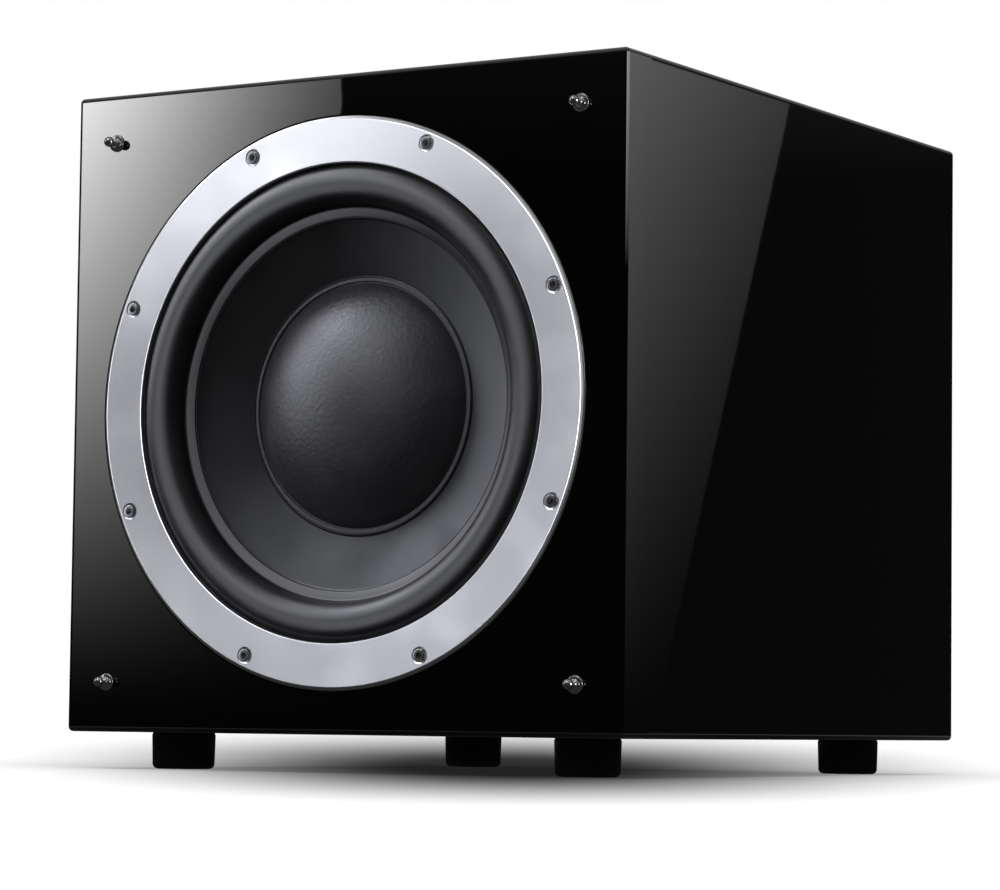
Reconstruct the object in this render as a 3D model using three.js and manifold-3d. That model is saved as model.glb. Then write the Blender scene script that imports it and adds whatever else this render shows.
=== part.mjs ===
// Powered sealed subwoofer: lacquered cabinet, 12-inch driver, plate amplifier on the rear.
// Millimetres, +Z up. The front faces -Y and +X is the object's right as seen from the front.
// The origin is on the floor, under the middle of the whole object's outline.

import * as THREE from 'three';
import { mergeVertices } from 'three/addons/utils/BufferGeometryUtils.js';
import { RoundedBoxGeometry } from 'three/addons/geometries/RoundedBoxGeometry.js';
import Module from 'manifold-3d';

const wasm = await Module();
wasm.setup();

// ---------------------------------------------------------------- driving dimensions

const CABINET = { width: 350, height: 350, depth: 394, edge: 2, wall: 18, baffle: 25 };
const FOOT = { radius: 17.5, height: 20, inset: 46, edge: 3 };
const POST = { inset: 27, reach: 10, flange: 4.7, flangeThick: 1, waist: 1.9, ball: 2.8 };
const POST_STEM = { radius: 2.2, length: 12 };

const RING = { outer: 152.5, inner: 127, proud: 1.5, thick: 5.5, round: 2.2, ease: 0.8, relief: 12 };
const SCREW = { head: 3.5, headHeight: 4, shank: 2, length: 20, socket: 1.75 };
const SCREWS = { circle: 144.5, count: 8, proud: 0.8, seat: 4.6 };
const BASKET = { opening: 141, shoulder: 138, mouth: 130, landing: 84, well: 72, bore: 50, skin: 5 };
const WINDOW = { count: 6, halfTurn: 0.055, inner: 86, outer: 150, length: 34, back: 56 };
const SURROUND = { outer: 126.5, inner: 105, lip: 1.5, skin: 1.3, rise: 9, foot: 11 };
const CONE = { rim: 104.5, capSeat: 69, waist: 50, neck: 32.7, skin: 1.7 };
const CAP = { radius: 68.8, flat: 3, height: 26, skin: 1.4 };
const SPIDER = { first: 39, last: 70, rim: 83, folds: 8, swing: 2, skin: 1 };
const COIL = { bore: 31.4, former: 0.8, winding: 1.8, gap: 1.2 };
const MAGNET = { plate: 75, outer: 80, bore: 45, pole: 30.4, vent: 11 };

const AMP = { width: 240, height: 270, corner: 6, plate: 3, cutWidth: 208, cutHeight: 238, screwInset: 8 };
const AMP_SCREW = { head: 3.6, headHeight: 2, shank: 1.5, length: 16, socket: 1.4 };
const SINK = { width: 176, height: 100, base: 4, fin: 18, fins: 15, finThick: 2 };
const BOARD = { width: 190, height: 106, thick: 1.6 };
const TOROID = { outer: 43, bore: 9, height: 32, round: 5 };
const KNOB = { radius: 11, length: 14, shaft: 3, stand: 1, round: 1 };
const POT = { side: 18, deep: 12, bush: 4.4, hole: 4.8 };
const PHASE = { slotWidth: 12, slotHeight: 5, throw: 5, lever: 5, leverHeight: 3.2, reach: 4 };
const ROCKER = { tilt: 8, pivot: 1, crown: 4.6, middle: 2.6, heel: 1, root: 4 };
const JACK = { collar: 4.6, reach: 9, nut: 7, nutThick: 2.2, body: 13, bore: 1.7, hole: 5.6 };
const CLEARANCE = 0.3;
const PAST = 1;           // how far a cutting tool reaches past the face it cuts

const FACETS = 40;        // round a large driver part
const SMALL_FACETS = 24;  // round the voice coil, magnet and feet
const TINY_FACETS = 12;   // round screws, posts and sockets
const HOLE_FACETS = 8;    // round screw holes
const HEXAGON = 6;

// ---------------------------------------------------------------- places worked out from them

const REAR_REACH = AMP.plate + SINK.base + SINK.fin;
const DEPTH_OVERALL = POST.reach + CABINET.depth + REAR_REACH;
const FRONT = -DEPTH_OVERALL / 2 + POST.reach;  // y of the baffle's front face
const REAR = FRONT + CABINET.depth;             // y of the rear panel's outer face
const FLOOR_GAP = FOOT.height;                  // z of the cabinet's underside
const TOP = FLOOR_GAP + CABINET.height;
const SIDE = CABINET.width / 2;
const AXIS_Z = FLOOR_GAP + CABINET.height / 2;  // height of the driver's axis and the amplifier's middle

// Depths along the driver's axis, counted rearward from the baffle's front face.
const FLANGE_FRONT = RING.thick - RING.proud;
const FLANGE_BACK = FLANGE_FRONT + 5;
const REBATE = FLANGE_BACK + 2;
const CONE_RIM_DEPTH = 9.9;
const CONE_SEAT_DEPTH = 23.5;
const CONE_NECK_DEPTH = 43;
const SPIDER_DEPTH = 60;
const WALL_TOP = 16;       // of the frame's tapered wall
const WALL_BOTTOM = 66;
const BASKET_FLOOR = 71;
const TOP_PLATE_FRONT = 76;
const MAGNET_FRONT = TOP_PLATE_FRONT + 8;
const YOKE_FRONT = MAGNET_FRONT + 30;
const YOKE_BACK = YOKE_FRONT + 10;
const CONE_WAIST_DEPTH = 32.5;
const COIL_FRONT = 66;
const COIL_BACK = 94;
const FORMER_BACK = 98;

// Heights and sideways places on the amplifier plate.
const SINK_Z = AXIS_Z + 72;
const KNOB_Z = AXIS_Z - 22;
const KNOB_X = 70;
const PHASE_X = 0;
const JACK_Z = AXIS_Z - 66;
const JACK_X = 70;
const JACK_PITCH = 26;
const INLET = { x: -62, z: AXIS_Z - 100, width: 48, height: 30, rim: 3 };
const SWITCH = { x: -62, z: AXIS_Z - 62, width: 30, height: 22, rim: 2 };
const FUSE = { x: INLET.x + 14.5, width: 9, height: 19, deep: 20 };
const PLATE_IN = REAR;                 // inner face of the amplifier plate
const PLATE_OUT = REAR + AMP.plate;    // outer face of the amplifier plate
const BOARD_Y = REAR - 16;             // outer face of the circuit board
const BOARD_Z = AXIS_Z - 29;
const CABLE_END = { x: 46, z: AXIS_Z - 70 };  // speaker plug on the board
const TERMINAL_Z = AXIS_Z - 92;
const TERMINAL_Y = FRONT + WALL_BOTTOM + 0.5;

const postPlaces = [];
for (const [level, z] of [['top', TOP - POST.inset], ['bottom', FLOOR_GAP + POST.inset]]) {
  for (const [sideName, side] of [['left', -1], ['right', 1]]) {
    postPlaces.push({ name: `grille_post_${level}_${sideName}`, x: side * (SIDE - POST.inset), z });
  }
}

const ampScrewPlaces = [];
for (const x of [-1, 1]) {
  for (const z of [-1, 0, 1]) {
    const reach = { x: AMP.width / 2 - AMP.screwInset, z: AMP.height / 2 - AMP.screwInset };
    ampScrewPlaces.push({ x: x * reach.x, z: AXIS_Z + z * reach.z });
  }
}

// Places round the driver, as fractions of a turn anticlockwise from +X.
const screwTurns = Array.from({ length: SCREWS.count }, (_, i) => (i + 0.5) / SCREWS.count);
const windowTurns = Array.from({ length: WINDOW.count }, (_, i) => 0.25 + i / WINDOW.count);

// ---------------------------------------------------------------- solids: joining, cutting, basic shapes

/** Turns closed three.js geometry into a manifold solid whose faces point out. */
function solid(geometry) {
  const bare = new THREE.BufferGeometry();
  bare.setAttribute('position', geometry.getAttribute('position').clone());
  if (geometry.index) bare.setIndex(geometry.index.clone());
  const merged = mergeVertices(bare, 1e-4);
  const corners = merged.index.array;
  const kept = [];
  for (let i = 0; i < corners.length; i += 3) {
    const [a, b, c] = [corners[i], corners[i + 1], corners[i + 2]];
    if (a !== b && b !== c && c !== a) kept.push(a, b, c);
  }
  const mesh = new wasm.Mesh({
    numProp: 3,
    vertProperties: new Float32Array(merged.getAttribute('position').array),
    triVerts: new Uint32Array(kept),
  });
  return new wasm.Manifold(mesh);
}

function cut(body, ...tools) {
  return tools.reduce((left, tool) => left.subtract(tool), body);
}

function join(...bodies) {
  return bodies.reduce((whole, next) => whole.add(next));
}

/** Block between two corners, given as ranges along x, y and z. */
function slab([x0, x1], [y0, y1], [z0, z1]) {
  const box = new THREE.BoxGeometry(x1 - x0, y1 - y0, z1 - z0);
  return solid(box.translate((x0 + x1) / 2, (y0 + y1) / 2, (z0 + z1) / 2));
}

/** Block with a middle and a size in x and z, and a range in y. */
function block(x, z, width, height, yRange) {
  return slab([x - width / 2, x + width / 2], yRange, [z - height / 2, z + height / 2]);
}

/** Solid turned round the y axis from a closed outline of [radius, depth] points. */
function turned(outline, facets = FACETS) {
  const points = outline.map(([r, y]) => new THREE.Vector2(r, y));
  const area = THREE.ShapeUtils.area(points);
  if (area < 0) points.reverse();
  if (points.every((p) => p.x > 0)) points.push(points[0].clone());
  return solid(new THREE.LatheGeometry(points, facets));
}

/** Round bar along y, centred on x and z. */
function barY(radius, [y0, y1], x, z, facets = TINY_FACETS) {
  return turned([[0, y0], [radius, y0], [radius, y1], [0, y1]], facets).translate([x, 0, z]);
}

/** Solid turned on the driver's axis; depths count rearward from the baffle's front face. */
function onDriver(outline, facets = FACETS) {
  return turned(outline, facets).translate([0, FRONT, AXIS_Z]);
}

/** Tube of even thickness on the driver's axis. */
function driverTube(inner, outer, y0, y1, facets = FACETS) {
  return onDriver([[inner, y0], [outer, y0], [outer, y1], [inner, y1]], facets);
}

/** Round cable or lead swept along a smooth curve through the points. */
function swept(points, radius, steps, sides = 8) {
  const path = new THREE.CatmullRomCurve3(points.map((p) => new THREE.Vector3(...p)));
  const section = new THREE.Shape();
  section.absarc(0, 0, radius, 0, 2 * Math.PI);
  const curveSegments = sides / 2;
  return solid(new THREE.ExtrudeGeometry(section, { steps, curveSegments, extrudePath: path }));
}

/** Point on the driver's flange circle, at a fraction of a turn anticlockwise from +X. */
function driverPoint(radius, turn) {
  const angle = 2 * Math.PI * turn;
  return [radius * Math.cos(angle), AXIS_Z + radius * Math.sin(angle)];
}

/** Eight bars through the screw circle, to drill holes with. */
function screwHoles(radius, y0, y1) {
  return screwTurns.map((turn) => {
    const [x, z] = driverPoint(SCREWS.circle, turn);
    return barY(radius, [FRONT + y0, FRONT + y1], x, z, HOLE_FACETS);
  });
}

// ---------------------------------------------------------------- looks and the scene graph

const FINISH = {
  lacquer: { color: 0x050506, roughness: 0.05, metalness: 0 },
  satinAluminium: { color: 0xb9bbbd, roughness: 0.35, metalness: 1 },
  chrome: { color: 0xe2e3e5, roughness: 0.08, metalness: 1 },
  screwSteel: { color: 0xc2c2c0, roughness: 0.28, metalness: 1 },
  rubber: { color: 0x131314, roughness: 0.6, metalness: 0 },
  conePaper: { color: 0x2a2b2e, roughness: 0.75, metalness: 0 },
  capWeave: { color: 0x1b1c1f, roughness: 0.45, metalness: 0 },
  castFrame: { color: 0x26282a, roughness: 0.55, metalness: 0.6 },
  spiderCloth: { color: 0xb88a3c, roughness: 0.95, metalness: 0 },
  copper: { color: 0xb5652e, roughness: 0.35, metalness: 1 },
  polyimide: { color: 0xa85c1e, roughness: 0.4, metalness: 0 },
  zincSteel: { color: 0x9b9d9f, roughness: 0.4, metalness: 1 },
  ferrite: { color: 0x2d2d2f, roughness: 0.8, metalness: 0 },
  foam: { color: 0x0c0c0c, roughness: 1, metalness: 0 },
  blackPlastic: { color: 0x101112, roughness: 0.5, metalness: 0 },
  powderCoat: { color: 0x17181a, roughness: 0.6, metalness: 0.3 },
  blackAnodised: { color: 0x101113, roughness: 0.45, metalness: 0.8 },
  circuitBoard: { color: 0x1d4a2c, roughness: 0.5, metalness: 0 },
  varnishedCopper: { color: 0x7a3a18, roughness: 0.45, metalness: 0.6 },
  nickel: { color: 0xc9c5b8, roughness: 0.22, metalness: 1 },
  blackSteel: { color: 0x1a1b1c, roughness: 0.4, metalness: 0.8 },
  redPlastic: { color: 0x9a1712, roughness: 0.4, metalness: 0 },
};

const subwoofer = new THREE.Group();

function place(name, body, finish) {
  const { vertProperties, triVerts } = body.getMesh();
  const geometry = new THREE.BufferGeometry();
  geometry.setAttribute('position', new THREE.BufferAttribute(vertProperties, 3));
  geometry.setIndex(new THREE.BufferAttribute(triVerts, 1));
  const mesh = new THREE.Mesh(geometry, new THREE.MeshStandardMaterial(FINISH[finish]));
  mesh.name = name;
  subwoofer.add(mesh);
}

// ---------------------------------------------------------------- cabinet

/** The whole cabinet as one rounded block; every panel is a slice of it, so their edges run on. */
function carcass() {
  const { width, depth, height, edge } = CABINET;
  const box = new RoundedBoxGeometry(width, depth, height, 3, edge);
  return solid(box.translate(0, (FRONT + REAR) / 2, AXIS_Z));
}

const INSIDE_FRONT = FRONT + CABINET.baffle;
const INSIDE_REAR = REAR - CABINET.wall;
const BEYOND = CABINET.width;  // reaches past the cabinet on every side

function frontBaffle() {
  const slice = slab([-BEYOND, BEYOND], [FRONT - PAST, INSIDE_FRONT], [-BEYOND, 2 * BEYOND]);
  const rebate = driverTube(0, RING.outer + CLEARANCE + 0.2, -PAST, REBATE);
  const opening = driverTube(0, BASKET.opening, -2 * PAST, CABINET.baffle + PAST);
  const pilots = screwHoles(SCREW.shank + CLEARANCE, REBATE - PAST, REBATE + 13);
  const posts = postPlaces.map(({ x, z }) =>
    barY(POST_STEM.radius + CLEARANCE, [FRONT - PAST, FRONT + POST_STEM.length + 1], x, z));
  return cut(carcass().intersect(slice), rebate, opening, ...pilots, ...posts);
}

function rearPanel() {
  const slice = slab([-BEYOND, BEYOND], [INSIDE_REAR, REAR + PAST], [-BEYOND, 2 * BEYOND]);
  const window = block(0, AXIS_Z, AMP.cutWidth, AMP.cutHeight, [INSIDE_REAR - PAST, REAR + PAST]);
  const pilotEnd = REAR - AMP_SCREW.length + 0.5;
  const pilots = ampScrewPlaces.map(({ x, z }) =>
    barY(AMP_SCREW.shank + CLEARANCE, [pilotEnd, REAR + PAST], x, z, HOLE_FACETS));
  return cut(carcass().intersect(slice), window, ...pilots);
}

/** A wall between the baffle and the rear panel. */
function wall(xRange, zRange) {
  return carcass().intersect(slab(xRange, [INSIDE_FRONT, INSIDE_REAR], zRange));
}

function addCabinet() {
  const { wall: thick } = CABINET;
  place('front_baffle', frontBaffle(), 'lacquer');
  place('rear_panel', rearPanel(), 'lacquer');
  place('top_panel', wall([-BEYOND, BEYOND], [TOP - thick, TOP + 1]), 'lacquer');
  place('bottom_panel', wall([-BEYOND, BEYOND], [FLOOR_GAP - 1, FLOOR_GAP + thick]), 'lacquer');
  const between = [FLOOR_GAP + thick, TOP - thick];
  place('left_panel', wall([-SIDE - 1, -SIDE + thick], between), 'lacquer');
  place('right_panel', wall([SIDE - thick, SIDE + 1], between), 'lacquer');
}

function addFeet() {
  const { radius, height, inset, edge } = FOOT;
  const outline = [
    [0, 0], [radius - edge, 0], [radius - 0.3 * edge, 0.3 * edge],
    [radius, edge], [radius, height], [0, height],
  ];
  for (const [endName, y] of [['front', FRONT + inset], ['rear', REAR - inset]]) {
    for (const [sideName, side] of [['left', -1], ['right', 1]]) {
      const foot = turned(outline, SMALL_FACETS).rotate([90, 0, 0]).translate([side * (SIDE - inset), y, 0]);
      place(`foot_${endName}_${sideName}`, foot, 'rubber');
    }
  }
}

/** Ball stud: stem in the baffle, round flange on its face, waist and ball in front. */
function grillePost({ x, z }) {
  const { reach, flange, flangeThick, waist, ball } = POST;
  const { radius: stem, length } = POST_STEM;
  const centre = -reach + ball;
  const outline = [
    [0, length], [stem, length], [stem, 0], [flange, 0], [flange, -flangeThick], [waist, -1.8 * flangeThick],
  ];
  for (const turn of [0.22, 0.05, -0.12, -0.3]) {
    outline.push([ball * Math.cos(turn * Math.PI), centre + ball * Math.sin(turn * Math.PI)]);
  }
  outline.push([0, -reach]);
  return turned(outline, TINY_FACETS).translate([x, FRONT, z]);
}

function addGrillePosts() {
  for (const post of postPlaces) place(post.name, grillePost(post), 'chrome');
}

// ---------------------------------------------------------------- driver: frame and fixings

/** Clamp ring: rounded outer edge, eased inner edge, relieved at the back for the surround's lip. */
function trimRing() {
  const { outer, inner, proud, round, ease, relief } = RING;
  const back = FLANGE_FRONT - SURROUND.lip - CLEARANCE;
  const rounding = [0, 0.25, 0.5].map((turn) => [
    outer - round * (1 - Math.sin(turn * Math.PI)), -proud + round * (1 - Math.cos(turn * Math.PI)),
  ]);
  const section = [
    [inner, -proud + ease], [inner + ease, -proud], ...rounding,
    [outer, FLANGE_FRONT], [inner + relief, FLANGE_FRONT], [inner + relief, back], [inner, back],
  ];
  const seatDepth = SCREW.headHeight - SCREWS.proud;
  const seats = screwHoles(SCREWS.seat, -proud - PAST, -proud + seatDepth);
  const holes = screwHoles(SCREW.shank + CLEARANCE, -proud - PAST, FLANGE_FRONT + PAST);
  return cut(onDriver(section), ...holes, ...seats);
}

/** Cast frame: flange, tapered wall with windows between its legs, landing for the spider, floor. */
function driverBasket() {
  const { shoulder, mouth, landing, well, bore, skin } = BASKET;
  const throat = landing + 4;
  const section = [
    [RING.inner, FLANGE_FRONT], [RING.outer, FLANGE_FRONT], [RING.outer, FLANGE_BACK],
    [shoulder, FLANGE_BACK], [mouth + skin, WALL_TOP + 2], [throat, WALL_BOTTOM],
    [throat, TOP_PLATE_FRONT], [bore, TOP_PLATE_FRONT], [bore, BASKET_FLOOR], [well, BASKET_FLOOR],
    [well, SPIDER_DEPTH], [landing, SPIDER_DEPTH], [mouth, WALL_TOP],
    [mouth + 1, FLANGE_BACK], [RING.inner, FLANGE_BACK],
  ];
  const holes = screwHoles(SCREW.shank + CLEARANCE, 0, REBATE + SCREW.length);
  const windows = windowTurns.map((turn) => basketWindow(turn));
  const terminalSeat = block(0, TERMINAL_Z - 4, 40, 20, [TERMINAL_Y - 0.5, FRONT + TOP_PLATE_FRONT + PAST]);
  return cut(onDriver(section), ...holes, ...windows, terminalSeat);
}

/** Opening between two legs: a ring sector cut straight along the driver's axis. */
function basketWindow(turn) {
  const { halfTurn, inner, outer, length, back } = WINDOW;
  const [from, to] = [2 * Math.PI * (turn - halfTurn), 2 * Math.PI * (turn + halfTurn)];
  const shape = new THREE.Shape();
  shape.absarc(0, 0, outer, from, to, false);
  shape.absarc(0, 0, inner, to, from, true);
  const prism = new THREE.ExtrudeGeometry(shape, { depth: length, curveSegments: 3, bevelEnabled: false });
  prism.rotateX(Math.PI / 2);
  return solid(prism).translate([0, FRONT + back, AXIS_Z]);
}

function basketGasket() {
  const ring = driverTube(BASKET.opening + 0.5, RING.outer - 0.5, FLANGE_BACK, REBATE);
  return cut(ring, ...screwHoles(SCREW.shank + CLEARANCE, FLANGE_BACK - PAST, REBATE + PAST));
}

/** Socket-head screw with a hexagon recess, standing along y. */
function socketScrew({ head, headHeight, shank, length, socket }) {
  const edge = 0.5;
  const recessDepth = 0.55 * headHeight;
  const outline = [
    [0, 0], [head - edge, 0], [head, edge], [head, headHeight], [shank, headHeight],
    [shank, headHeight + length - 1], [shank - 1, headHeight + length], [0, headHeight + length],
  ];
  const recess = turned([[0, -PAST], [socket, -PAST], [socket, recessDepth], [0, recessDepth]], HEXAGON);
  return cut(turned(outline, TINY_FACETS), recess);
}

function addFixings() {
  place('trim_ring', trimRing(), 'satinAluminium');
  place('driver_basket', driverBasket(), 'castFrame');
  place('basket_gasket', basketGasket(), 'foam');
  screwTurns.forEach((turn, i) => {
    const [x, z] = driverPoint(SCREWS.circle, turn);
    const screw = socketScrew(SCREW).translate([x, FRONT - RING.proud - SCREWS.proud, z]);
    place(`driver_screw_${i + 1}`, screw, 'screwSteel');
  });
}

// ---------------------------------------------------------------- driver: moving parts and suspension

/** Half roll of even skin between the ring and the cone, leaning back towards the cone. */
function surround() {
  const { outer, inner, lip, skin, rise, foot } = SURROUND;
  const footDepth = FLANGE_FRONT - lip;
  const coneLip = CONE_RIM_DEPTH - skin;
  const glueDepth = coneLip + 2.1;
  const glueRadius = inner - 5.5;
  const [front, back] = halfRoll([outer, footDepth], [inner, coneLip], rise, skin);
  return onDriver([
    [outer + foot, footDepth], [outer, footDepth], ...front, [inner - 0.5, coneLip], [glueRadius, glueDepth],
    [glueRadius + 0.4, glueDepth + skin - 0.35], [inner - 0.7, coneLip + skin - 0.15],
    ...back.reverse(), [outer, footDepth + skin], [outer + foot, footDepth + skin],
  ]);
}

/** Front and back skins of an arc bent over from its outer foot to its inner foot. */
function halfRoll(outerFoot, innerFoot, rise, skin) {
  const steps = 6;
  const from = new THREE.Vector2(...outerFoot);
  const to = new THREE.Vector2(...innerFoot);
  const chord = from.distanceTo(to);
  const radius = chord ** 2 / (8 * rise) + rise / 2;
  const toward = to.clone().sub(from).normalize();
  const front = new THREE.Vector2(toward.y, -toward.x);
  if (front.y > 0) front.negate();
  const centre = from.clone().add(to).multiplyScalar(0.5).addScaledVector(front, rise - radius);
  const start = from.clone().sub(centre).angle();
  let end = to.clone().sub(centre).angle();
  if (start < end) end -= 2 * Math.PI;
  const arc = (r) => Array.from({ length: steps }, (_, i) => {
    const angle = start + ((end - start) * (i + 0.5)) / steps;
    return [centre.x + r * Math.cos(angle), centre.y + r * Math.sin(angle)];
  });
  return [arc(radius), arc(radius - skin)];
}

function cone() {
  const { rim, capSeat, waist, neck, skin } = CONE;
  const front = [
    [rim, CONE_RIM_DEPTH], [capSeat, CONE_SEAT_DEPTH], [waist, CONE_WAIST_DEPTH], [neck, CONE_NECK_DEPTH],
  ];
  const back = front.map(([r, y]) => [r, y + skin]).reverse();
  return onDriver([...front, ...back]);
}

function dustCap() {
  const { radius, flat, height, skin } = CAP;
  const domeRim = radius - flat;
  const rimDepth = CONE_SEAT_DEPTH - skin - 2 * CLEARANCE;
  const sphere = (domeRim ** 2 + height ** 2) / (2 * height);
  const steps = 5;
  const dome = (drop) => Array.from({ length: steps }, (_, i) => {
    const r = (domeRim * i) / steps;
    return [r, rimDepth - height + sphere - Math.sqrt(sphere ** 2 - r ** 2) + drop];
  });
  return onDriver([
    ...dome(0), [domeRim, rimDepth], [radius, rimDepth], [radius, rimDepth + skin],
    [domeRim - 0.6, rimDepth + skin], ...dome(skin).reverse(),
  ]);
}

/** Corrugated cloth disc: flat collar on the coil former, waves, flat lip on the basket's landing. */
function spider() {
  const { first, last, rim, folds, swing, skin } = SPIDER;
  const collar = COIL.bore + COIL.former + CLEARANCE;
  const wave = Array.from({ length: folds + 1 }, (_, i) => {
    const flat = i === 0 || i === folds;
    const lift = flat ? 0 : (i % 2 ? swing : -swing);
    return [first + ((last - first) * i) / folds, SPIDER_DEPTH - skin - lift];
  });
  const front = [[collar, SPIDER_DEPTH - skin], ...wave, [rim, SPIDER_DEPTH - skin]];
  const back = front.map(([r, y]) => [r, y + skin]).reverse();
  return onDriver([...front, ...back], SMALL_FACETS);
}

function voiceCoilFormer() {
  return driverTube(COIL.bore, COIL.bore + COIL.former, CONE_NECK_DEPTH - 1, FORMER_BACK, SMALL_FACETS);
}

function voiceCoil() {
  const former = COIL.bore + COIL.former;
  return driverTube(former + 0.05, former + COIL.winding, COIL_FRONT, COIL_BACK, SMALL_FACETS);
}

function addMovingParts() {
  place('surround', surround(), 'rubber');
  place('cone', cone(), 'conePaper');
  place('dust_cap', dustCap(), 'capWeave');
  place('spider', spider(), 'spiderCloth');
  place('voice_coil_former', voiceCoilFormer(), 'polyimide');
  place('voice_coil', voiceCoil(), 'copper');
}

/** Back plate and centre pole in one turned piece, with a vent through the pole. */
function poleYoke() {
  const { outer, pole, vent } = MAGNET;
  const edge = 3;
  return onDriver([
    [vent, TOP_PLATE_FRONT - 1], [pole - 1, TOP_PLATE_FRONT - 1], [pole, TOP_PLATE_FRONT],
    [pole, YOKE_FRONT], [outer - edge, YOKE_FRONT], [outer - edge, YOKE_BACK - edge],
    [outer - 2 * edge, YOKE_BACK], [vent, YOKE_BACK],
  ], SMALL_FACETS);
}

function addMagnet() {
  const gap = COIL.bore + COIL.former + COIL.winding + COIL.gap;
  const { plate, outer, bore } = MAGNET;
  place('top_plate', driverTube(gap, plate, TOP_PLATE_FRONT, MAGNET_FRONT, SMALL_FACETS), 'zincSteel');
  place('magnet_ring', driverTube(bore, outer, MAGNET_FRONT, YOKE_FRONT, SMALL_FACETS), 'ferrite');
  place('pole_yoke', poleYoke(), 'zincSteel');
}

// ---------------------------------------------------------------- driver: electrical connection

/** Plastic block with two upright tabs, on the flat seat under the basket. */
function terminalBlock() {
  const body = block(0, TERMINAL_Z, 30, 11, [TERMINAL_Y, TERMINAL_Y + 9]);
  const tabs = [-9, 9].map((x) => block(x, TERMINAL_Z - 2, 5, 1, [TERMINAL_Y - 5, TERMINAL_Y + PAST]));
  return join(body, ...tabs);
}

/** Braided lead: up through the basket's lower window, looping back to the cone behind the cap. */
function tinselLead(side) {
  const path = [
    [9, 98, 65.5], [9.5, 100, 58], [10, 96, 50], [11, 84, 43], [12, 70, 44], [12, 56, 46], [12, 47, 41],
  ];
  const points = path.map(([out, drop, depth]) => [side * out, FRONT + depth, AXIS_Z - drop]);
  return swept(points, 1.1, 16, HEXAGON);
}

/** From the terminal block, under the magnet and along the floor of the cabinet to the board's plug. */
function speakerCable() {
  const sag = AXIS_Z - 150;
  return swept([
    [0, TERMINAL_Y + 10, TERMINAL_Z - 1], [0, FRONT + 92, TERMINAL_Z - 5], [10, FRONT + 140, sag + 10],
    [30, FRONT + 220, sag], [44, FRONT + 300, sag + 40], [CABLE_END.x, BOARD_Y - 30, CABLE_END.z - 4],
    [CABLE_END.x, BOARD_Y - 9.5, CABLE_END.z],
  ], 2.6, 26, HEXAGON);
}

function addWiring() {
  place('terminal_block', terminalBlock(), 'blackPlastic');
  place('tinsel_lead_left', tinselLead(-1), 'copper');
  place('tinsel_lead_right', tinselLead(1), 'copper');
  place('speaker_cable', speakerCable(), 'redPlastic');
}

// ---------------------------------------------------------------- amplifier: plate and cooling

function ampPlate() {
  const outline = roundedRectangle(AMP.width, AMP.height, AMP.corner);
  const depth = AMP.plate;
  const sheet = new THREE.ExtrudeGeometry(outline, { depth, bevelEnabled: false, curveSegments: 4 });
  const body = solid(sheet.rotateX(Math.PI / 2)).translate([0, PLATE_OUT, AXIS_Z]);
  const through = [PLATE_IN - PAST, PLATE_OUT + PAST];
  const behindRim = ({ x, z, width, height, rim }) =>
    block(x, z, width - 2 * rim + CLEARANCE, height - 2 * rim + CLEARANCE, through);
  const screwHole = AMP_SCREW.shank + 2 * CLEARANCE;
  const holes = [
    ...ampScrewPlaces.map(({ x, z }) => barY(screwHole, through, x, z, HOLE_FACETS)),
    ...[-KNOB_X, KNOB_X].map((x) => barY(POT.hole, through, x, KNOB_Z)),
    ...[0, 1].map((i) => barY(JACK.hole, through, JACK_X - i * JACK_PITCH, JACK_Z)),
    block(PHASE_X, KNOB_Z, PHASE.slotWidth, PHASE.slotHeight, through),
    behindRim(SWITCH),
    behindRim(INLET),
  ];
  return cut(body, ...holes);
}

function roundedRectangle(width, height, corner) {
  const [w, h] = [width / 2 - corner, height / 2 - corner];
  const shape = new THREE.Shape();
  const corners = [[w, h], [-w, h], [-w, -h], [w, -h]];
  corners.forEach(([x, y], i) => shape.absarc(x, y, corner, (i * Math.PI) / 2, ((i + 1) * Math.PI) / 2));
  return shape;
}

/** Extruded aluminium comb: a base on the plate and upright fins. */
function heatSink() {
  const { width, height, base, fin, fins, finThick } = SINK;
  const pitch = (width - finThick) / (fins - 1);
  const shape = new THREE.Shape();
  shape.moveTo(-width / 2, 0);
  for (let i = 0; i < fins; i += 1) {
    const left = -width / 2 + i * pitch;
    shape.lineTo(left, base);
    shape.lineTo(left, base + fin);
    shape.lineTo(left + finThick, base + fin);
    if (i < fins - 1) shape.lineTo(left + finThick, base);
  }
  shape.lineTo(width / 2, 0);
  const comb = new THREE.ExtrudeGeometry(shape, { depth: height, bevelEnabled: false });
  return solid(comb).translate([0, PLATE_OUT, SINK_Z - height / 2]);
}

// ---------------------------------------------------------------- amplifier: electronics

/** Circuit board with its soldered parts: reservoir capacitors, coils, a heat spreader, plugs. */
function ampBoard() {
  const board = block(0, BOARD_Z, BOARD.width, BOARD.height, [BOARD_Y - BOARD.thick, BOARD_Y]);
  const back = BOARD_Y - PAST;
  const cans = [-74, -44].map((x) => barY(12, [back - 36, back], x, BOARD_Z - 29));
  const coils = [14, 40].map((x) => barY(9, [back - 14, back], x, BOARD_Z + 15));
  const blocks = [
    block(80, BOARD_Z + 3, 12, 60, [back - 24, back]),
    block(CABLE_END.x, CABLE_END.z, 16, 10, [back - 8, back]),
    block(-14, BOARD_Z - 23, 18, 26, [back - 14, back]),
  ];
  return join(board, ...cans, ...coils, ...blocks);
}

/** Toroidal transformer, bolted flat inside the plate above the board. */
function powerTransformer() {
  const { outer, bore, height, round } = TOROID;
  const outline = [
    [bore, 0], [outer - round, 0], [outer, round],
    [outer, height - round], [outer - round, height], [bore, height],
  ];
  return turned(outline, SMALL_FACETS).translate([0, PLATE_IN - height - 0.5, SINK_Z]);
}

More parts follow.
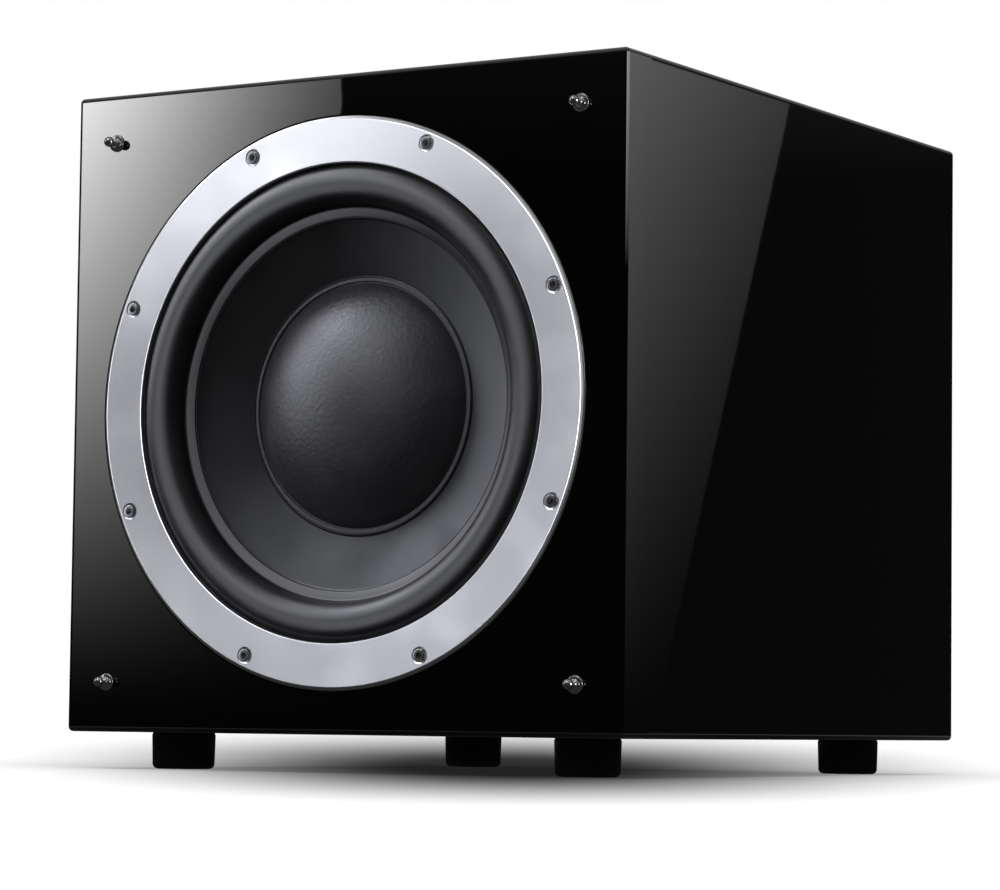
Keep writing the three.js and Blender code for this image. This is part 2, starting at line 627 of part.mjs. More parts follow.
/** Rotary control: square can behind the plate, threaded bush through it. */
function pot(x) {
  const can = block(x, KNOB_Z, POT.side, POT.side, [PLATE_IN - POT.deep, PLATE_IN - CLEARANCE]);
  const bush = barY(POT.bush, [PLATE_IN - PAST, PLATE_OUT + 0.2], x, KNOB_Z);
  const bore = barY(KNOB.shaft + CLEARANCE, [PLATE_IN - POT.deep + 2, PLATE_OUT + PAST], x, KNOB_Z);
  return cut(join(can, bush), bore);
}

/** Turning knob with its shaft and a raised pointer. */
function knob(x) {
  const { radius, length, shaft, stand, round } = KNOB;
  const y0 = PLATE_OUT + stand;
  const y1 = y0 + length;
  const outline = [[0, y0], [radius, y0], [radius, y1 - round], [radius - round, y1], [0, y1]];
  const grip = turned(outline, SMALL_FACETS).translate([x, 0, KNOB_Z]);
  const pointer = slab([x - 0.7, x + 0.7], [y0 + 2, y1 + 0.6], [KNOB_Z + 2, KNOB_Z + radius + 0.5]);
  return join(grip, pointer, barY(shaft, [PLATE_IN - 9, y0 + PAST], x, KNOB_Z));
}

function phaseSwitchBody() {
  const can = block(PHASE_X, KNOB_Z, 22, 11, [PLATE_IN - 9, PLATE_IN - CLEARANCE]);
  const { slotWidth, slotHeight } = PHASE;
  const slot = block(PHASE_X, KNOB_Z, slotWidth - 1, slotHeight - 1, [PLATE_IN - 7, PLATE_IN + PAST]);
  return cut(can, slot);
}

function phaseSwitchLever() {
  const { lever, leverHeight, reach } = PHASE;
  return block(PHASE_X - PHASE.throw / 2, KNOB_Z, lever, leverHeight, [PLATE_IN - 6, PLATE_OUT + reach]);
}

function powerSwitchBody() {
  const { x, z, width, height, rim } = SWITCH;
  const bezel = block(x, z, width, height, [PLATE_OUT, PLATE_OUT + 1.8]);
  const can = block(x, z, width - 2 * rim, height - 2 * rim, [PLATE_IN - 14, PLATE_OUT + PAST]);
  const well = block(x, z, width - 7, height - 8, [PLATE_IN - 7, PLATE_OUT + 3]);
  return cut(join(bezel, can), well);
}

/** Rocker key: a shallow vee of two faces, turning on the switch's cross axis and at rest in its off tilt. */
function powerRocker() {
  const { x, z, width, height } = SWITCH;
  const { tilt, pivot, crown, middle, heel, root } = ROCKER;
  const [w, h] = [(width - 9) / 2, (height - 10) / 2];
  const section = [[-w, heel], [-w, crown], [0, middle], [w, crown], [w, heel], [0, -root]];
  const shape = new THREE.Shape(section.map(([across, out]) => new THREE.Vector2(across, out - pivot)));
  const key = new THREE.ExtrudeGeometry(shape, { depth: 2 * h, bevelEnabled: false });
  return solid(key).rotate([0, 0, tilt]).translate([x, PLATE_OUT + pivot, z - h]);
}

/** Mains inlet: flange outside, body through the plate, socket well with three blades, fuse slot. */
function mainsInlet() {
  const { x, z, width, height, rim } = INLET;
  const flange = block(x, z, width, height, [PLATE_OUT, PLATE_OUT + 3]);
  const can = block(x, z, width - 2 * rim, height - 2 * rim, [PLATE_IN - 24, PLATE_OUT + PAST]);
  const well = block(x - 6, z, 25, 17, [PLATE_IN - 14, PLATE_OUT + 4]);
  const slot = block(FUSE.x, z, FUSE.width, FUSE.height, [PLATE_IN - FUSE.deep, PLATE_OUT + 4]);
  const blades = [[-13, 0], [-6, 3.5], [1, 0]].map(([dx, dz]) =>
    block(x + dx, z + dz, 2, 4, [PLATE_IN - 15, PLATE_OUT + 0.5]));
  return join(cut(join(flange, can), well, slot), ...blades);
}

function fuseDrawer() {
  const { x, width, height, deep } = FUSE;
  const fit = 2 * CLEARANCE;
  const tray = block(x, INLET.z, width - fit, height - fit, [PLATE_IN - deep + 1, PLATE_OUT + 3.4]);
  const lip = block(x, INLET.z, 6, 3, [PLATE_OUT + 3, PLATE_OUT + 5]);
  const fuseWell = block(x + 1.5, INLET.z, 6, 14, [PLATE_IN - 16, PLATE_IN - 2]);
  return cut(join(tray, lip), fuseWell);
}

/** Phono socket: nut and collar outside, body inside the plate, with a blind bore. */
function rcaJack(x) {
  const { reach, nutThick } = JACK;
  const collar = barY(JACK.collar, [PLATE_IN - PAST, PLATE_OUT + reach], x, JACK_Z);
  const nut = barY(JACK.nut, [PLATE_OUT, PLATE_OUT + nutThick], x, JACK_Z, HEXAGON);
  const body = block(x, JACK_Z, JACK.body, JACK.body, [PLATE_IN - 10, PLATE_IN - CLEARANCE]);
  const bore = barY(JACK.bore, [PLATE_IN - 4, PLATE_OUT + reach + PAST], x, JACK_Z);
  return cut(join(collar, nut, body), bore);
}

function addAmplifier() {
  place('amp_plate', ampPlate(), 'powderCoat');
  place('heat_sink', heatSink(), 'blackAnodised');
  place('amp_board', ampBoard(), 'circuitBoard');
  place('power_transformer', powerTransformer(), 'varnishedCopper');
  place('volume_knob', knob(KNOB_X), 'blackPlastic');
  place('volume_pot', pot(KNOB_X), 'zincSteel');
  place('crossover_knob', knob(-KNOB_X), 'blackPlastic');
  place('crossover_pot', pot(-KNOB_X), 'zincSteel');
  place('phase_switch_body', phaseSwitchBody(), 'zincSteel');
  place('phase_switch_lever', phaseSwitchLever(), 'blackPlastic');
  place('power_switch_body', powerSwitchBody(), 'blackPlastic');
  place('power_rocker', powerRocker(), 'blackPlastic');
  place('mains_inlet', mainsInlet(), 'blackPlastic');
  place('fuse_drawer', fuseDrawer(), 'blackPlastic');
  place('rca_jack_left', rcaJack(JACK_X - JACK_PITCH), 'nickel');
  place('rca_jack_right', rcaJack(JACK_X), 'nickel');
  ampScrewPlaces.forEach(({ x, z }, i) => {
    const screw = socketScrew(AMP_SCREW).rotate([0, 0, 180]);
    place(`amp_screw_${i + 1}`, screw.translate([x, PLATE_OUT + AMP_SCREW.headHeight, z]), 'blackSteel');
  });
}

// ---------------------------------------------------------------- assembly

addCabinet();
addFeet();
addGrillePosts();
addFixings();
addMovingParts();
addMagnet();
addWiring();
addAmplifier();

export default subwoofer;
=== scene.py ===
import math
import random

import bmesh
import bpy
from mathutils import Matrix, Vector


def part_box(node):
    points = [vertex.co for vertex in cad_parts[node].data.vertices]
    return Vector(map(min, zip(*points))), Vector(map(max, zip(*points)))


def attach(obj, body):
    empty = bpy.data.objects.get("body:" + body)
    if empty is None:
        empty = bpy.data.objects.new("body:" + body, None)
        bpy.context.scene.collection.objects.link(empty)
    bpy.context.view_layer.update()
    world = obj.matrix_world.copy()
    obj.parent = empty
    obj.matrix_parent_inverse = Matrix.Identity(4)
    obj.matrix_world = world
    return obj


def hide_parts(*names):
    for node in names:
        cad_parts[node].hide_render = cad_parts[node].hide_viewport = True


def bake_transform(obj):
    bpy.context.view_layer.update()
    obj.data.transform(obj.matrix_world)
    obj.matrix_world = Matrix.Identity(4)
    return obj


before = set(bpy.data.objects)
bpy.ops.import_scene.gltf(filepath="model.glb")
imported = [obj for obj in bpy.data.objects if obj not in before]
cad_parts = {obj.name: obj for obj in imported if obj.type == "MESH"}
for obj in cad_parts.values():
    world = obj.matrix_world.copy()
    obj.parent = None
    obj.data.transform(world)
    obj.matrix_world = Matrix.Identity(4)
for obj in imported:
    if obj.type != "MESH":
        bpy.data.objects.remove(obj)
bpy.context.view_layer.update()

random.seed(12)
MM = 0.001

# ------------------------------------------------------------------ places, read from the frame

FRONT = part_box("front_baffle")[0].y
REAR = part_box("rear_panel")[1].y
UNDER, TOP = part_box("rear_panel")[0].z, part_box("rear_panel")[1].z
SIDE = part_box("front_baffle")[1].x
AXIS_Z = (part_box("trim_ring")[0].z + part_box("trim_ring")[1].z) / 2
PLATE_IN, PLATE_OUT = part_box("amp_plate")[0].y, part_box("amp_plate")[1].y
RING_R = (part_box("trim_ring")[1].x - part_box("trim_ring")[0].x) / 2
INNER_R = RING_R - 25.5 * MM  # the clamp ring is 25.5 mm wide
RING_FACE = (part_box("trim_ring")[0].y - FRONT) / MM
SCREW_CIRCLE = 144.5 * MM
EDGE = 2.7  # rounding of the cabinet's edges, in mm
ROUND = 192  # segments round a large turned part
SMALL = 48  # segments round a screw, post or knob


def middle(node):
    low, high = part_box(node)
    return (low + high) / 2


# ------------------------------------------------------------------ shader building

class Shader:
    """A node tree that is being built; inputs hold plain values or the sockets that feed them."""

    def __init__(self, tree):
        self.tree = tree

    def add(self, kind, inputs=None, **settings):
        made = self.tree.nodes.new(kind)
        for key, value in settings.items():
            setattr(made, key, value)
        for key, value in (inputs or {}).items():
            if isinstance(value, bpy.types.NodeSocket):
                self.tree.links.new(value, made.inputs[key])
            else:
                made.inputs[key].default_value = value
        return made

    def maths(self, operation, *terms):
        return self.add("ShaderNodeMath", dict(enumerate(terms)), operation=operation).outputs[0]

    def vector(self, operation, *terms):
        return self.add("ShaderNodeVectorMath", dict(enumerate(terms)), operation=operation).outputs[0]

    def length(self, vector):
        return self.add("ShaderNodeVectorMath", {0: vector}, operation="LENGTH").outputs["Value"]

    def split(self, vector):
        return self.add("ShaderNodeSeparateXYZ", {0: vector}).outputs

    def ramp(self, value, low, high, start=0.0, end=1.0, shape="LINEAR"):
        """Start below the low value, end above the high one, and between them in between."""
        inputs = {"Value": value, "From Min": low, "From Max": high, "To Min": start, "To Max": end}
        return self.add("ShaderNodeMapRange", inputs, interpolation_type=shape).outputs[0]

    def place(self, kind="Object"):
        return self.add("ShaderNodeTexCoord").outputs[kind]


class Finish(Shader):
    """A principled material that starts plain and gains grain, weave, lines and wear."""

    def __init__(self, name, colour, roughness, metallic=0.0, **inputs):
        self.material = bpy.data.materials.new(name)
        self.material.use_nodes = True
        self.material.diffuse_color = (*colour, 1)
        super().__init__(self.material.node_tree)
        self.shader = self.tree.nodes["Principled BSDF"]
        self.colour = self.add("ShaderNodeRGB").outputs[0]
        self.colour.default_value = (*colour, 1)
        self.roughness = self.add("ShaderNodeValue").outputs[0]
        self.roughness.default_value = roughness
        self.normal = None
        self.shader.inputs["Metallic"].default_value = metallic
        for key, value in inputs.items():
            self.shader.inputs[key.replace("_", " ")].default_value = value
        self.coordinates = self.place()

    def noise(self, size_mm, detail=4.0, stretch=(1, 1, 1)):
        """Noise whose features are about size_mm across, longer along an axis with a small stretch."""
        scaled = self.add("ShaderNodeMapping", {"Vector": self.coordinates, "Scale": stretch})
        inputs = {"Vector": scaled.outputs[0], "Scale": 1 / (size_mm * MM), "Detail": detail}
        return self.add("ShaderNodeTexNoise", inputs).outputs["Fac"]

    def bump(self, height, depth_mm, strength=1.0):
        inputs = {"Height": height, "Distance": depth_mm * MM, "Strength": strength}
        if self.normal:
            inputs["Normal"] = self.normal
        self.normal = self.add("ShaderNodeBump", inputs).outputs[0]
        return self

    def vary_roughness(self, mask, swing):
        """Adds up to swing where the mask is bright and takes it off where it is dark."""
        centred = self.maths("MULTIPLY", self.maths("SUBTRACT", mask, 0.5), 2 * swing)
        self.roughness = self.maths("ADD", self.roughness, centred)
        return self

    def tint(self, mask, colour, amount):
        """Mixes in a second colour where the mask is bright."""
        fac = self.maths("MULTIPLY", mask, amount)
        mix = self.add("ShaderNodeMix", data_type="RGBA")
        self.tree.links.new(fac, mix.inputs[0])
        self.tree.links.new(self.colour, mix.inputs[6])
        mix.inputs[7].default_value = (*colour, 1)
        self.colour = mix.outputs[2]
        return self

    def grain(self, size_mm, depth_mm, swing=0.05):
        """Fine even grain in the surface height and the roughness."""
        mask = self.noise(size_mm)
        return self.bump(mask, depth_mm).vary_roughness(mask, swing)

    def wear(self, colour, size_mm=30, amount=0.3, swing=0.06):
        """Soft uneven patches, as handling and dust leave."""
        mask = self.ramp(self.noise(size_mm, 6.0), 0.45, 0.75)
        return self.tint(mask, colour, amount).vary_roughness(mask, swing)

    def weave(self, pitch_mm, depth_mm, axes=(0, 2)):
        """Over-and-under threads: the product of two crossed waves."""
        wave_number = math.tau / (pitch_mm * MM)
        place = self.split(self.coordinates)
        phases = [self.maths("MULTIPLY", place[axis], wave_number) for axis in axes]
        across, along = (self.maths("SINE", phase) for phase in phases)
        height = self.maths("MULTIPLY", across, along)
        self.bump(height, depth_mm)
        return height

    def done(self):
        limited = self.add("ShaderNodeClamp", {"Value": self.roughness, "Min": 0.008, "Max": 1.0})
        self.tree.links.new(self.colour, self.shader.inputs["Base Color"])
        self.tree.links.new(limited.outputs[0], self.shader.inputs["Roughness"])
        if self.normal:
            self.tree.links.new(self.normal, self.shader.inputs["Normal"])
        return self.material


# ------------------------------------------------------------------ finishes

# Finishes that are only grain and soft wear: colour, roughness, metallic, other inputs,
# grain (size in mm, depth in mm, swing of roughness), wear (colour, size in mm, amount, swing of roughness).
GRAINED = {
    "screw_steel": ((0.42, 0.42, 0.42), 0.32, 1.0, {}, (0.3, 0.01, 0.08), ((0.3, 0.3, 0.3), 2.5, 0.5)),
    "surround_rubber": ((0.006, 0.006, 0.0068), 0.40, 0.0, {"IOR": 1.52}, (0.5, 0.012, 0.04),
                        ((0.016, 0.016, 0.017), 25, 0.5, 0.04)),
    "foot_rubber": ((0.008, 0.008, 0.009), 0.55, 0.0, {}, (0.4, 0.03, 0.06), ((0.03, 0.03, 0.03), 12, 0.4)),
    "black_glue": ((0.006, 0.006, 0.007), 0.3, 0.0, {}, (2.0, 0.12, 0.08), None),
    "cast_frame": ((0.02, 0.02, 0.022), 0.55, 0.0, {}, (0.5, 0.05, 0.06), ((0.05, 0.05, 0.05), 20, 0.3)),
    "gasket_foam": ((0.01, 0.01, 0.01), 0.95, 0.0, {}, (0.6, 0.2, 0.03), None),
    "polyimide": ((0.45, 0.15, 0.03), 0.3, 0.0, {"Transmission Weight": 0.1}, (4, 0.02, 0.05),
                  ((0.3, 0.09, 0.02), 8, 0.4)),
    "copper": ((0.72, 0.30, 0.13), 0.28, 1.0, {}, (0.6, 0.02, 0.08), ((0.45, 0.16, 0.06), 6, 0.5)),
    "ferrite": ((0.03, 0.03, 0.032), 0.7, 0.0, {}, (0.8, 0.06, 0.08), ((0.07, 0.07, 0.07), 10, 0.4)),
    "black_plastic": ((0.012, 0.012, 0.013), 0.48, 0.0, {"IOR": 1.46}, (0.35, 0.03, 0.06),
                      ((0.03, 0.03, 0.03), 10, 0.25)),
    "nickel": ((0.66, 0.62, 0.54), 0.18, 1.0, {}, (0.8, 0.01, 0.06), ((0.45, 0.42, 0.36), 5, 0.4)),
    "black_steel": ((0.03, 0.03, 0.032), 0.38, 0.8, {}, (0.4, 0.02, 0.08), ((0.10, 0.10, 0.10), 2, 0.4)),
    "white_print": ((0.62, 0.62, 0.60), 0.6, 0.0, {}, (0.4, 0.01, 0.05), ((0.45, 0.45, 0.43), 4, 0.4)),
}


def grained(name):
    colour, roughness, metallic, inputs, grain, wear = GRAINED[name]
    finish = Finish(name, colour, roughness, metallic, **inputs).grain(*grain)
    return (finish.wear(*wear) if wear else finish).done()


def lacquer():
    finish = Finish("gloss_black_lacquer", (0.0012, 0.0012, 0.0013), 0.014, IOR=1.5)
    finish.vary_roughness(finish.noise(60, 5.0), 0.004)
    dust = finish.ramp(finish.noise(0.7, 2.0), 0.72, 0.80)
    return finish.tint(dust, (0.03, 0.03, 0.03), 0.2).bump(finish.noise(14, 1.0), 0.0012).done()


def satin_aluminium():
    """Turned and blasted: the fine rings left by the lathe stretch its highlights outwards."""
    finish = Finish("satin_aluminium", (0.80, 0.80, 0.81), 0.34, 1.0, Anisotropic=0.55)
    tangent = finish.add("ShaderNodeTangent", direction_type="RADIAL", axis="Y")
    finish.tree.links.new(tangent.outputs[0], finish.shader.inputs["Tangent"])
    finish.grain(0.25, 0.004, 0.04)
    return finish.wear((0.68, 0.69, 0.71), 45, 0.25, 0.03).done()


def chrome():
    finish = Finish("chrome", (0.86, 0.87, 0.88), 0.05, 1.0)
    return finish.vary_roughness(finish.noise(3), 0.03).done()


def cone_pulp():
    finish = Finish("cone_pulp", (0.034, 0.035, 0.038), 0.72, IOR=1.45)
    fibres = finish.noise(0.9, 6.0, (1, 1, 0.45))
    finish.bump(fibres, 0.08).tint(fibres, (0.06, 0.062, 0.066), 0.35)
    return finish.wear((0.018, 0.018, 0.02), 35, 0.5).done()


def cap_weave():
    """A fine weave under a satin coat: the threads show only as a faint pitted grain."""
    finish = Finish("cap_weave", (0.020, 0.020, 0.022), 0.44, IOR=1.5)
    threads = finish.weave(1.3, 0.03)
    finish.bump(finish.noise(2.4, 3.0), 0.30)
    finish.tint(finish.maths("MULTIPLY_ADD", threads, 0.5), (0.012, 0.012, 0.013), 0.4)
    finish.grain(0.7, 0.035, 0.06)
    return finish.wear((0.034, 0.034, 0.036), 20, 0.35, 0.05).done()


def spider_cloth():
    finish = Finish("spider_cloth", (0.50, 0.31, 0.10), 0.85)
    finish.weave(0.9, 0.12)
    return finish.wear((0.34, 0.18, 0.05), 12, 0.5).done()


def zinc_steel():
    finish = Finish("zinc_steel", (0.55, 0.56, 0.57), 0.34, 1.0)
    spangle = finish.add("ShaderNodeTexVoronoi", {"Vector": finish.coordinates, "Scale": 180.0})
    finish.tint(finish.ramp(spangle.outputs["Distance"], 0.0, 0.7), (0.40, 0.41, 0.42), 0.5)
    return finish.grain(0.5, 0.01, 0.06).done()


def powder_coat():
    finish = Finish("powder_coat", (0.014, 0.014, 0.016), 0.5)
    finish.bump(finish.noise(1.1, 2.0), 0.10)
    return finish.grain(0.4, 0.03, 0.08).wear((0.022, 0.022, 0.024), 18, 0.3).done()


def black_anodised():
    finish = Finish("black_anodised", (0.018, 0.018, 0.02), 0.38, 0.7)
    drawn = finish.noise(0.5, 3.0, (1, 1, 0.02))
    return finish.bump(drawn, 0.02).vary_roughness(drawn, 0.1).wear((0.05, 0.05, 0.052), 25, 0.3).done()


def circuit_board():
    finish = Finish("circuit_board", (0.008, 0.05, 0.018), 0.32)
    tracks = finish.add("ShaderNodeTexBrick", {"Vector": finish.coordinates, "Scale": 160.0})
    finish.tint(tracks.outputs["Fac"], (0.03, 0.13, 0.045), 0.8).bump(tracks.outputs["Fac"], 0.05)
    return finish.wear((0.02, 0.03, 0.01), 15, 0.3).done()


def coloured_plastic(name, colour):
    finish = Finish(name, colour, 0.4, IOR=1.46)
    return finish.grain(0.5, 0.02, 0.06).wear(tuple(0.6 * c for c in colour), 8, 0.3).done()


# ------------------------------------------------------------------ mesh building

def arc_corner(before, corner, after, radius, steps=6):
    """Points of a round fillet at a corner of an outline."""
    a, b, c = Vector(before), Vector(corner), Vector(after)
    u, v = (a - b).normalized(), (c - b).normalized()
    half = u.angle(v) / 2
    if half > math.pi / 2 - 0.02:
        return [tuple(b)]
    reach = min(radius / math.tan(half), 0.48 * (a - b).length, 0.48 * (c - b).length)
    radius = reach * math.tan(half)
    centre = b + (u + v).normalized() * (radius / math.sin(half))
    start, end = b + u * reach - centre, b + v * reach - centre
    sweep = start.angle_signed(end)
    return [tuple(centre + Matrix.Rotation(-sweep * i / steps, 2) @ start) for i in range(steps + 1)]


def fillet(outline, closed=True):
    """Rounds an outline's corners; a point may carry its radius as a third number."""
    points = []
    count = len(outline)
    for i, (x, y, *radius) in enumerate(outline):
        at_end = not closed and i in (0, count - 1)
        if not radius or at_end:
            points.append((x, y))
            continue
        before, after = outline[i - 1][:2], outline[(i + 1) % count][:2]
        points.extend(arc_corner(before, (x, y), after, radius[0]))
    return points


def new_piece(name, mesh_or_bmesh, material, sharp=35):
    """An object in the scene from a mesh or bmesh, smooth but for edges over the sharp angle."""
    mesh = mesh_or_bmesh
    if isinstance(mesh_or_bmesh, bmesh.types.BMesh):
        mesh = bpy.data.meshes.new(name)
        bmesh.ops.recalc_face_normals(mesh_or_bmesh, faces=mesh_or_bmesh.faces)
        mesh_or_bmesh.to_mesh(mesh)
        mesh_or_bmesh.free()
    piece = bpy.data.objects.new(name, mesh)
    bpy.context.scene.collection.objects.link(piece)
    mesh.materials.clear()
    mesh.materials.append(material)
    mesh.polygons.foreach_set("use_smooth", [True] * len(mesh.polygons))
    mesh.set_sharp_from_angle(angle=math.radians(sharp))
    return piece


def turn(name, outline, material, facets=ROUND, closed=True, shape=None, sharp=35):
    """A solid turned about the y axis from an outline of (radius, y, fillet) in mm.

    shape(angle, radius) may change the radius round the axis, as knurls and flutes do."""
    points = fillet(outline, closed)
    bm = bmesh.new()
    rings = []
    for r, y in points:
        if r < 1e-6:
            rings.append([bm.verts.new((0, y * MM, 0))])
            continue
        ring = []
        for i in range(facets):
            angle = 2 * math.pi * i / facets
            reach = (shape(angle, r) if shape else r) * MM
            ring.append(bm.verts.new((reach * math.cos(angle), y * MM, reach * math.sin(angle))))
        rings.append(ring)
    pairs = list(zip(rings, rings[1:]))
    if closed:
        pairs.append((rings[-1], rings[0]))
    for low, high in pairs:
        for i in range(facets):
            corners = [low[i % len(low)], low[(i + 1) % len(low)], high[(i + 1) % len(high)],
                       high[i % len(high)]]
            corners = list(dict.fromkeys(corners))
            if len(corners) > 2:
                bm.faces.new(corners)
    return new_piece(name, bm, material, sharp)


def on_axis(piece, x=0.0, y=None, z=None):
    """Moves a turned piece's vertices to its place; the driver's axis unless told otherwise."""
    offset = Vector((x, FRONT if y is None else y, AXIS_Z if z is None else z))
    piece.data.transform(Matrix.Translation(offset))
    return piece


def carve(piece, cutters, operation="DIFFERENCE"):
    """Cuts the piece by each cutter and throws the cutters away."""
    piece.modifiers.clear()
    for cutter in cutters:
        modifier = piece.modifiers.new("carve", "BOOLEAN")
        modifier.operation = operation
        modifier.object = cutter
        modifier.solver = "EXACT"
    depsgraph = bpy.context.evaluated_depsgraph_get()
    carved = bpy.data.meshes.new_from_object(piece.evaluated_get(depsgraph))
    piece.modifiers.clear()
    old = piece.data
    piece.data = carved
    bpy.data.meshes.remove(old)
    for cutter in cutters:
        bpy.data.objects.remove(cutter)
    carved.polygons.foreach_set("use_smooth", [True] * len(carved.polygons))
    carved.set_sharp_from_angle(angle=math.radians(35))
    return piece


def even_normals(piece):
    """Keeps large flats flat beside their rounded edges."""
    modifier = piece.modifiers.new("even_normals", "WEIGHTED_NORMAL")
    modifier.keep_sharp = True
    return piece


def brick(name, low, high, material, edge_mm=0.0, steps=3):
    """A block between two corners, in metres, with rounded edges."""
    bm = bmesh.new()
    bmesh.ops.create_cube(bm, size=1.0)
    size = Vector(high) - Vector(low)
    bm.transform(Matrix.Translation((Vector(low) + Vector(high)) / 2) @ Matrix.Diagonal((*size, 1)))
    if edge_mm:
        bmesh.ops.bevel(bm, geom=bm.edges, offset=edge_mm * MM, segments=steps, profile=0.5, affect="EDGES")
    piece = new_piece(name, bm, material)
    return even_normals(piece) if edge_mm else piece


def rod(name, radius, y0, y1, x, z, material=None, facets=SMALL, flare=0.0):
    """A bar along y in metres, used to drill holes; flare widens its front end by a small cone."""
    outline = [(0, y0 / MM), (radius + flare, y0 / MM), (radius, y0 / MM + flare), (radius, y1 / MM),
               (0, y1 / MM)]
    if not flare:
        outline.pop(1)
    piece = turn(name, outline, material or PLAIN, facets, closed=False)
    return on_axis(piece, x, 0, z)


def prism(name, outline, low, high, material, edge_mm=0.3, along="y"):
    """A straight bar between two places along an axis, in metres, from a cross-section in mm.

    Along y the section is (x, z), along z it is (x, y). A point may carry its fillet radius."""
    bm = bmesh.new()
    order = {"y": (0, 2, 1), "z": (0, 1, 2)}[along]
    start = []
    for point in fillet(outline):
        place = Vector((0, 0, 0))
        place[order[0]], place[order[1]], place[order[2]] = point[0] * MM, point[1] * MM, low
        start.append(bm.verts.new(place))
    made = bmesh.ops.extrude_face_region(bm, geom=[bm.faces.new(start)])
    far = [v for v in made["geom"] if isinstance(v, bmesh.types.BMVert)]
    shift = Vector((0, 0, 0))
    shift[order[2]] = high - low
    bmesh.ops.translate(bm, verts=far, vec=shift)
    if edge_mm:
        ends = {edge for end in (start, far) for v in end for edge in v.link_edges
                if all(w in end for w in edge.verts)}
        bmesh.ops.bevel(bm, geom=list(ends), offset=edge_mm * MM, segments=2, profile=0.5, affect="EDGES")
    return even_normals(new_piece(name, bm, material))


def rectangle(x, z, width, height, radius):
    """Outline in mm of a rounded rectangle, centred on a place in metres."""
    x, z, w, h = x / MM, z / MM, width / 2, height / 2
    return [(x - w, z - h, radius), (x + w, z - h, radius), (x + w, z + h, radius), (x - w, z + h, radius)]


def hexagon(x, z, radius):
    angles = [math.tau * i / 6 for i in range(6)]
    return [(x / MM + radius * math.cos(a), z / MM + radius * math.sin(a), 0.6) for a in angles]


def smooth_path(points, steps):
    """A Catmull-Rom curve through the points."""
    points = [Vector(p) for p in points]
    ends = [2 * points[0] - points[1], *points, 2 * points[-1] - points[-2]]
    path = []
    for i in range(steps + 1):
        reach = i / steps * (len(points) - 1)
        k = min(int(reach), len(points) - 2)
        t = reach - k
        a, b, c, d = ends[k:k + 4]
        square, cube = (2 * a - 5 * b + 4 * c - d) * t ** 2, (3 * b - a - 3 * c + d) * t ** 3
        path.append(0.5 * (2 * b + (c - a) * t + square + cube))
    return path


def sweep(name, path, material, reach, facets=16, offset=0.0):
    """A cable along a path; reach(angle, distance) is its radius in mm, offset moves it sideways in mm."""
    bm = bmesh.new()
    side = (path[1] - path[0]).orthogonal().normalized()
    rings, travelled = [], 0.0
    for i, point in enumerate(path):
        ahead = (path[min(i + 1, len(path) - 1)] - path[max(i - 1, 0)]).normalized()
        side = (side - side.dot(ahead) * ahead).normalized()
        other = ahead.cross(side)
        travelled += (point - path[i - 1]).length / MM if i else 0.0
        ring = []
        for j in range(facets):
            angle = math.tau * j / facets
            out = reach(angle, travelled) * MM * (math.cos(angle) * side + math.sin(angle) * other)
            ring.append(bm.verts.new(point + offset * MM * side + out))
        rings.append(ring)
    for low, high in zip(rings, rings[1:]):
        for j in range(facets):
            k = (j + 1) % facets
            bm.faces.new((low[j], low[k], high[k], high[j]))
    bm.faces.new(rings[0][::-1])
    bm.faces.new(rings[-1])
    return new_piece(name, bm, material, sharp=60)


def stand_for_node(piece):
    """A piece that is named NODE_finish is shown instead of that CAD node, which is hidden."""
    node = piece.name.removesuffix("_finish")
    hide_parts(node)


def finish_as(piece, body="cabinet", slot=None):
    """The piece rides on a body; it stands for its CAD node unless a slot is given, which marks it as an
    extra.
    """
    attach(piece, body)
    if slot:
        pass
    else:
        stand_for_node(piece)


PLAIN = coloured_plastic("cutting_tool", (0.5, 0.5, 0.5))
RUBBER = grained("surround_rubber")
LACQUER = lacquer()

# ------------------------------------------------------------------ cabinet

UPRIGHT = Matrix.Rotation(math.radians(90), 4, "X")  # from along y to along z
PANELS = ("front_baffle", "rear_panel", "top_panel", "bottom_panel", "left_panel", "right_panel")


def rounded_carcass(name):
    low = Vector((-SIDE, FRONT, UNDER))
    high = Vector((SIDE, REAR, TOP))
    return brick(name, low, high, LACQUER, edge_mm=EDGE, steps=8)


def panel(node):
    """One lacquered board: the slice of the rounded carcass that its CAD board fills."""
    low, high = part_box(node)
    piece = rounded_carcass(f"{node}_finish")
    slack = Vector((MM, MM, MM))
    for axis in range(3):
        whole = (-SIDE, FRONT, UNDER)[axis], (SIDE, REAR, TOP)[axis]
        low[axis] -= slack[axis] if abs(low[axis] - whole[0]) < 1e-5 else 0
        high[axis] += slack[axis] if abs(high[axis] - whole[1]) < 1e-5 else 0
    return carve(piece, [brick("slice", low, high, PLAIN)], "INTERSECT")


def screw_places():
    for i in range(8):
        angle = 2 * math.pi * (i + 0.5) / 8
        yield i + 1, SCREW_CIRCLE * math.cos(angle), AXIS_Z + SCREW_CIRCLE * math.sin(angle)


def build_cabinet():
    for node in PANELS:
        piece = panel(node)
        if node == "front_baffle":
            carve(piece, baffle_cutters())
        if node == "rear_panel":
            wide, tall = 104 * MM, 119 * MM
            low, high = (-wide, REAR - 0.1, AXIS_Z - tall), (wide, REAR + 0.01, AXIS_Z + tall)
            carve(piece, [brick("window", low, high, PLAIN)])
        even_normals(piece)
        finish_as(piece)


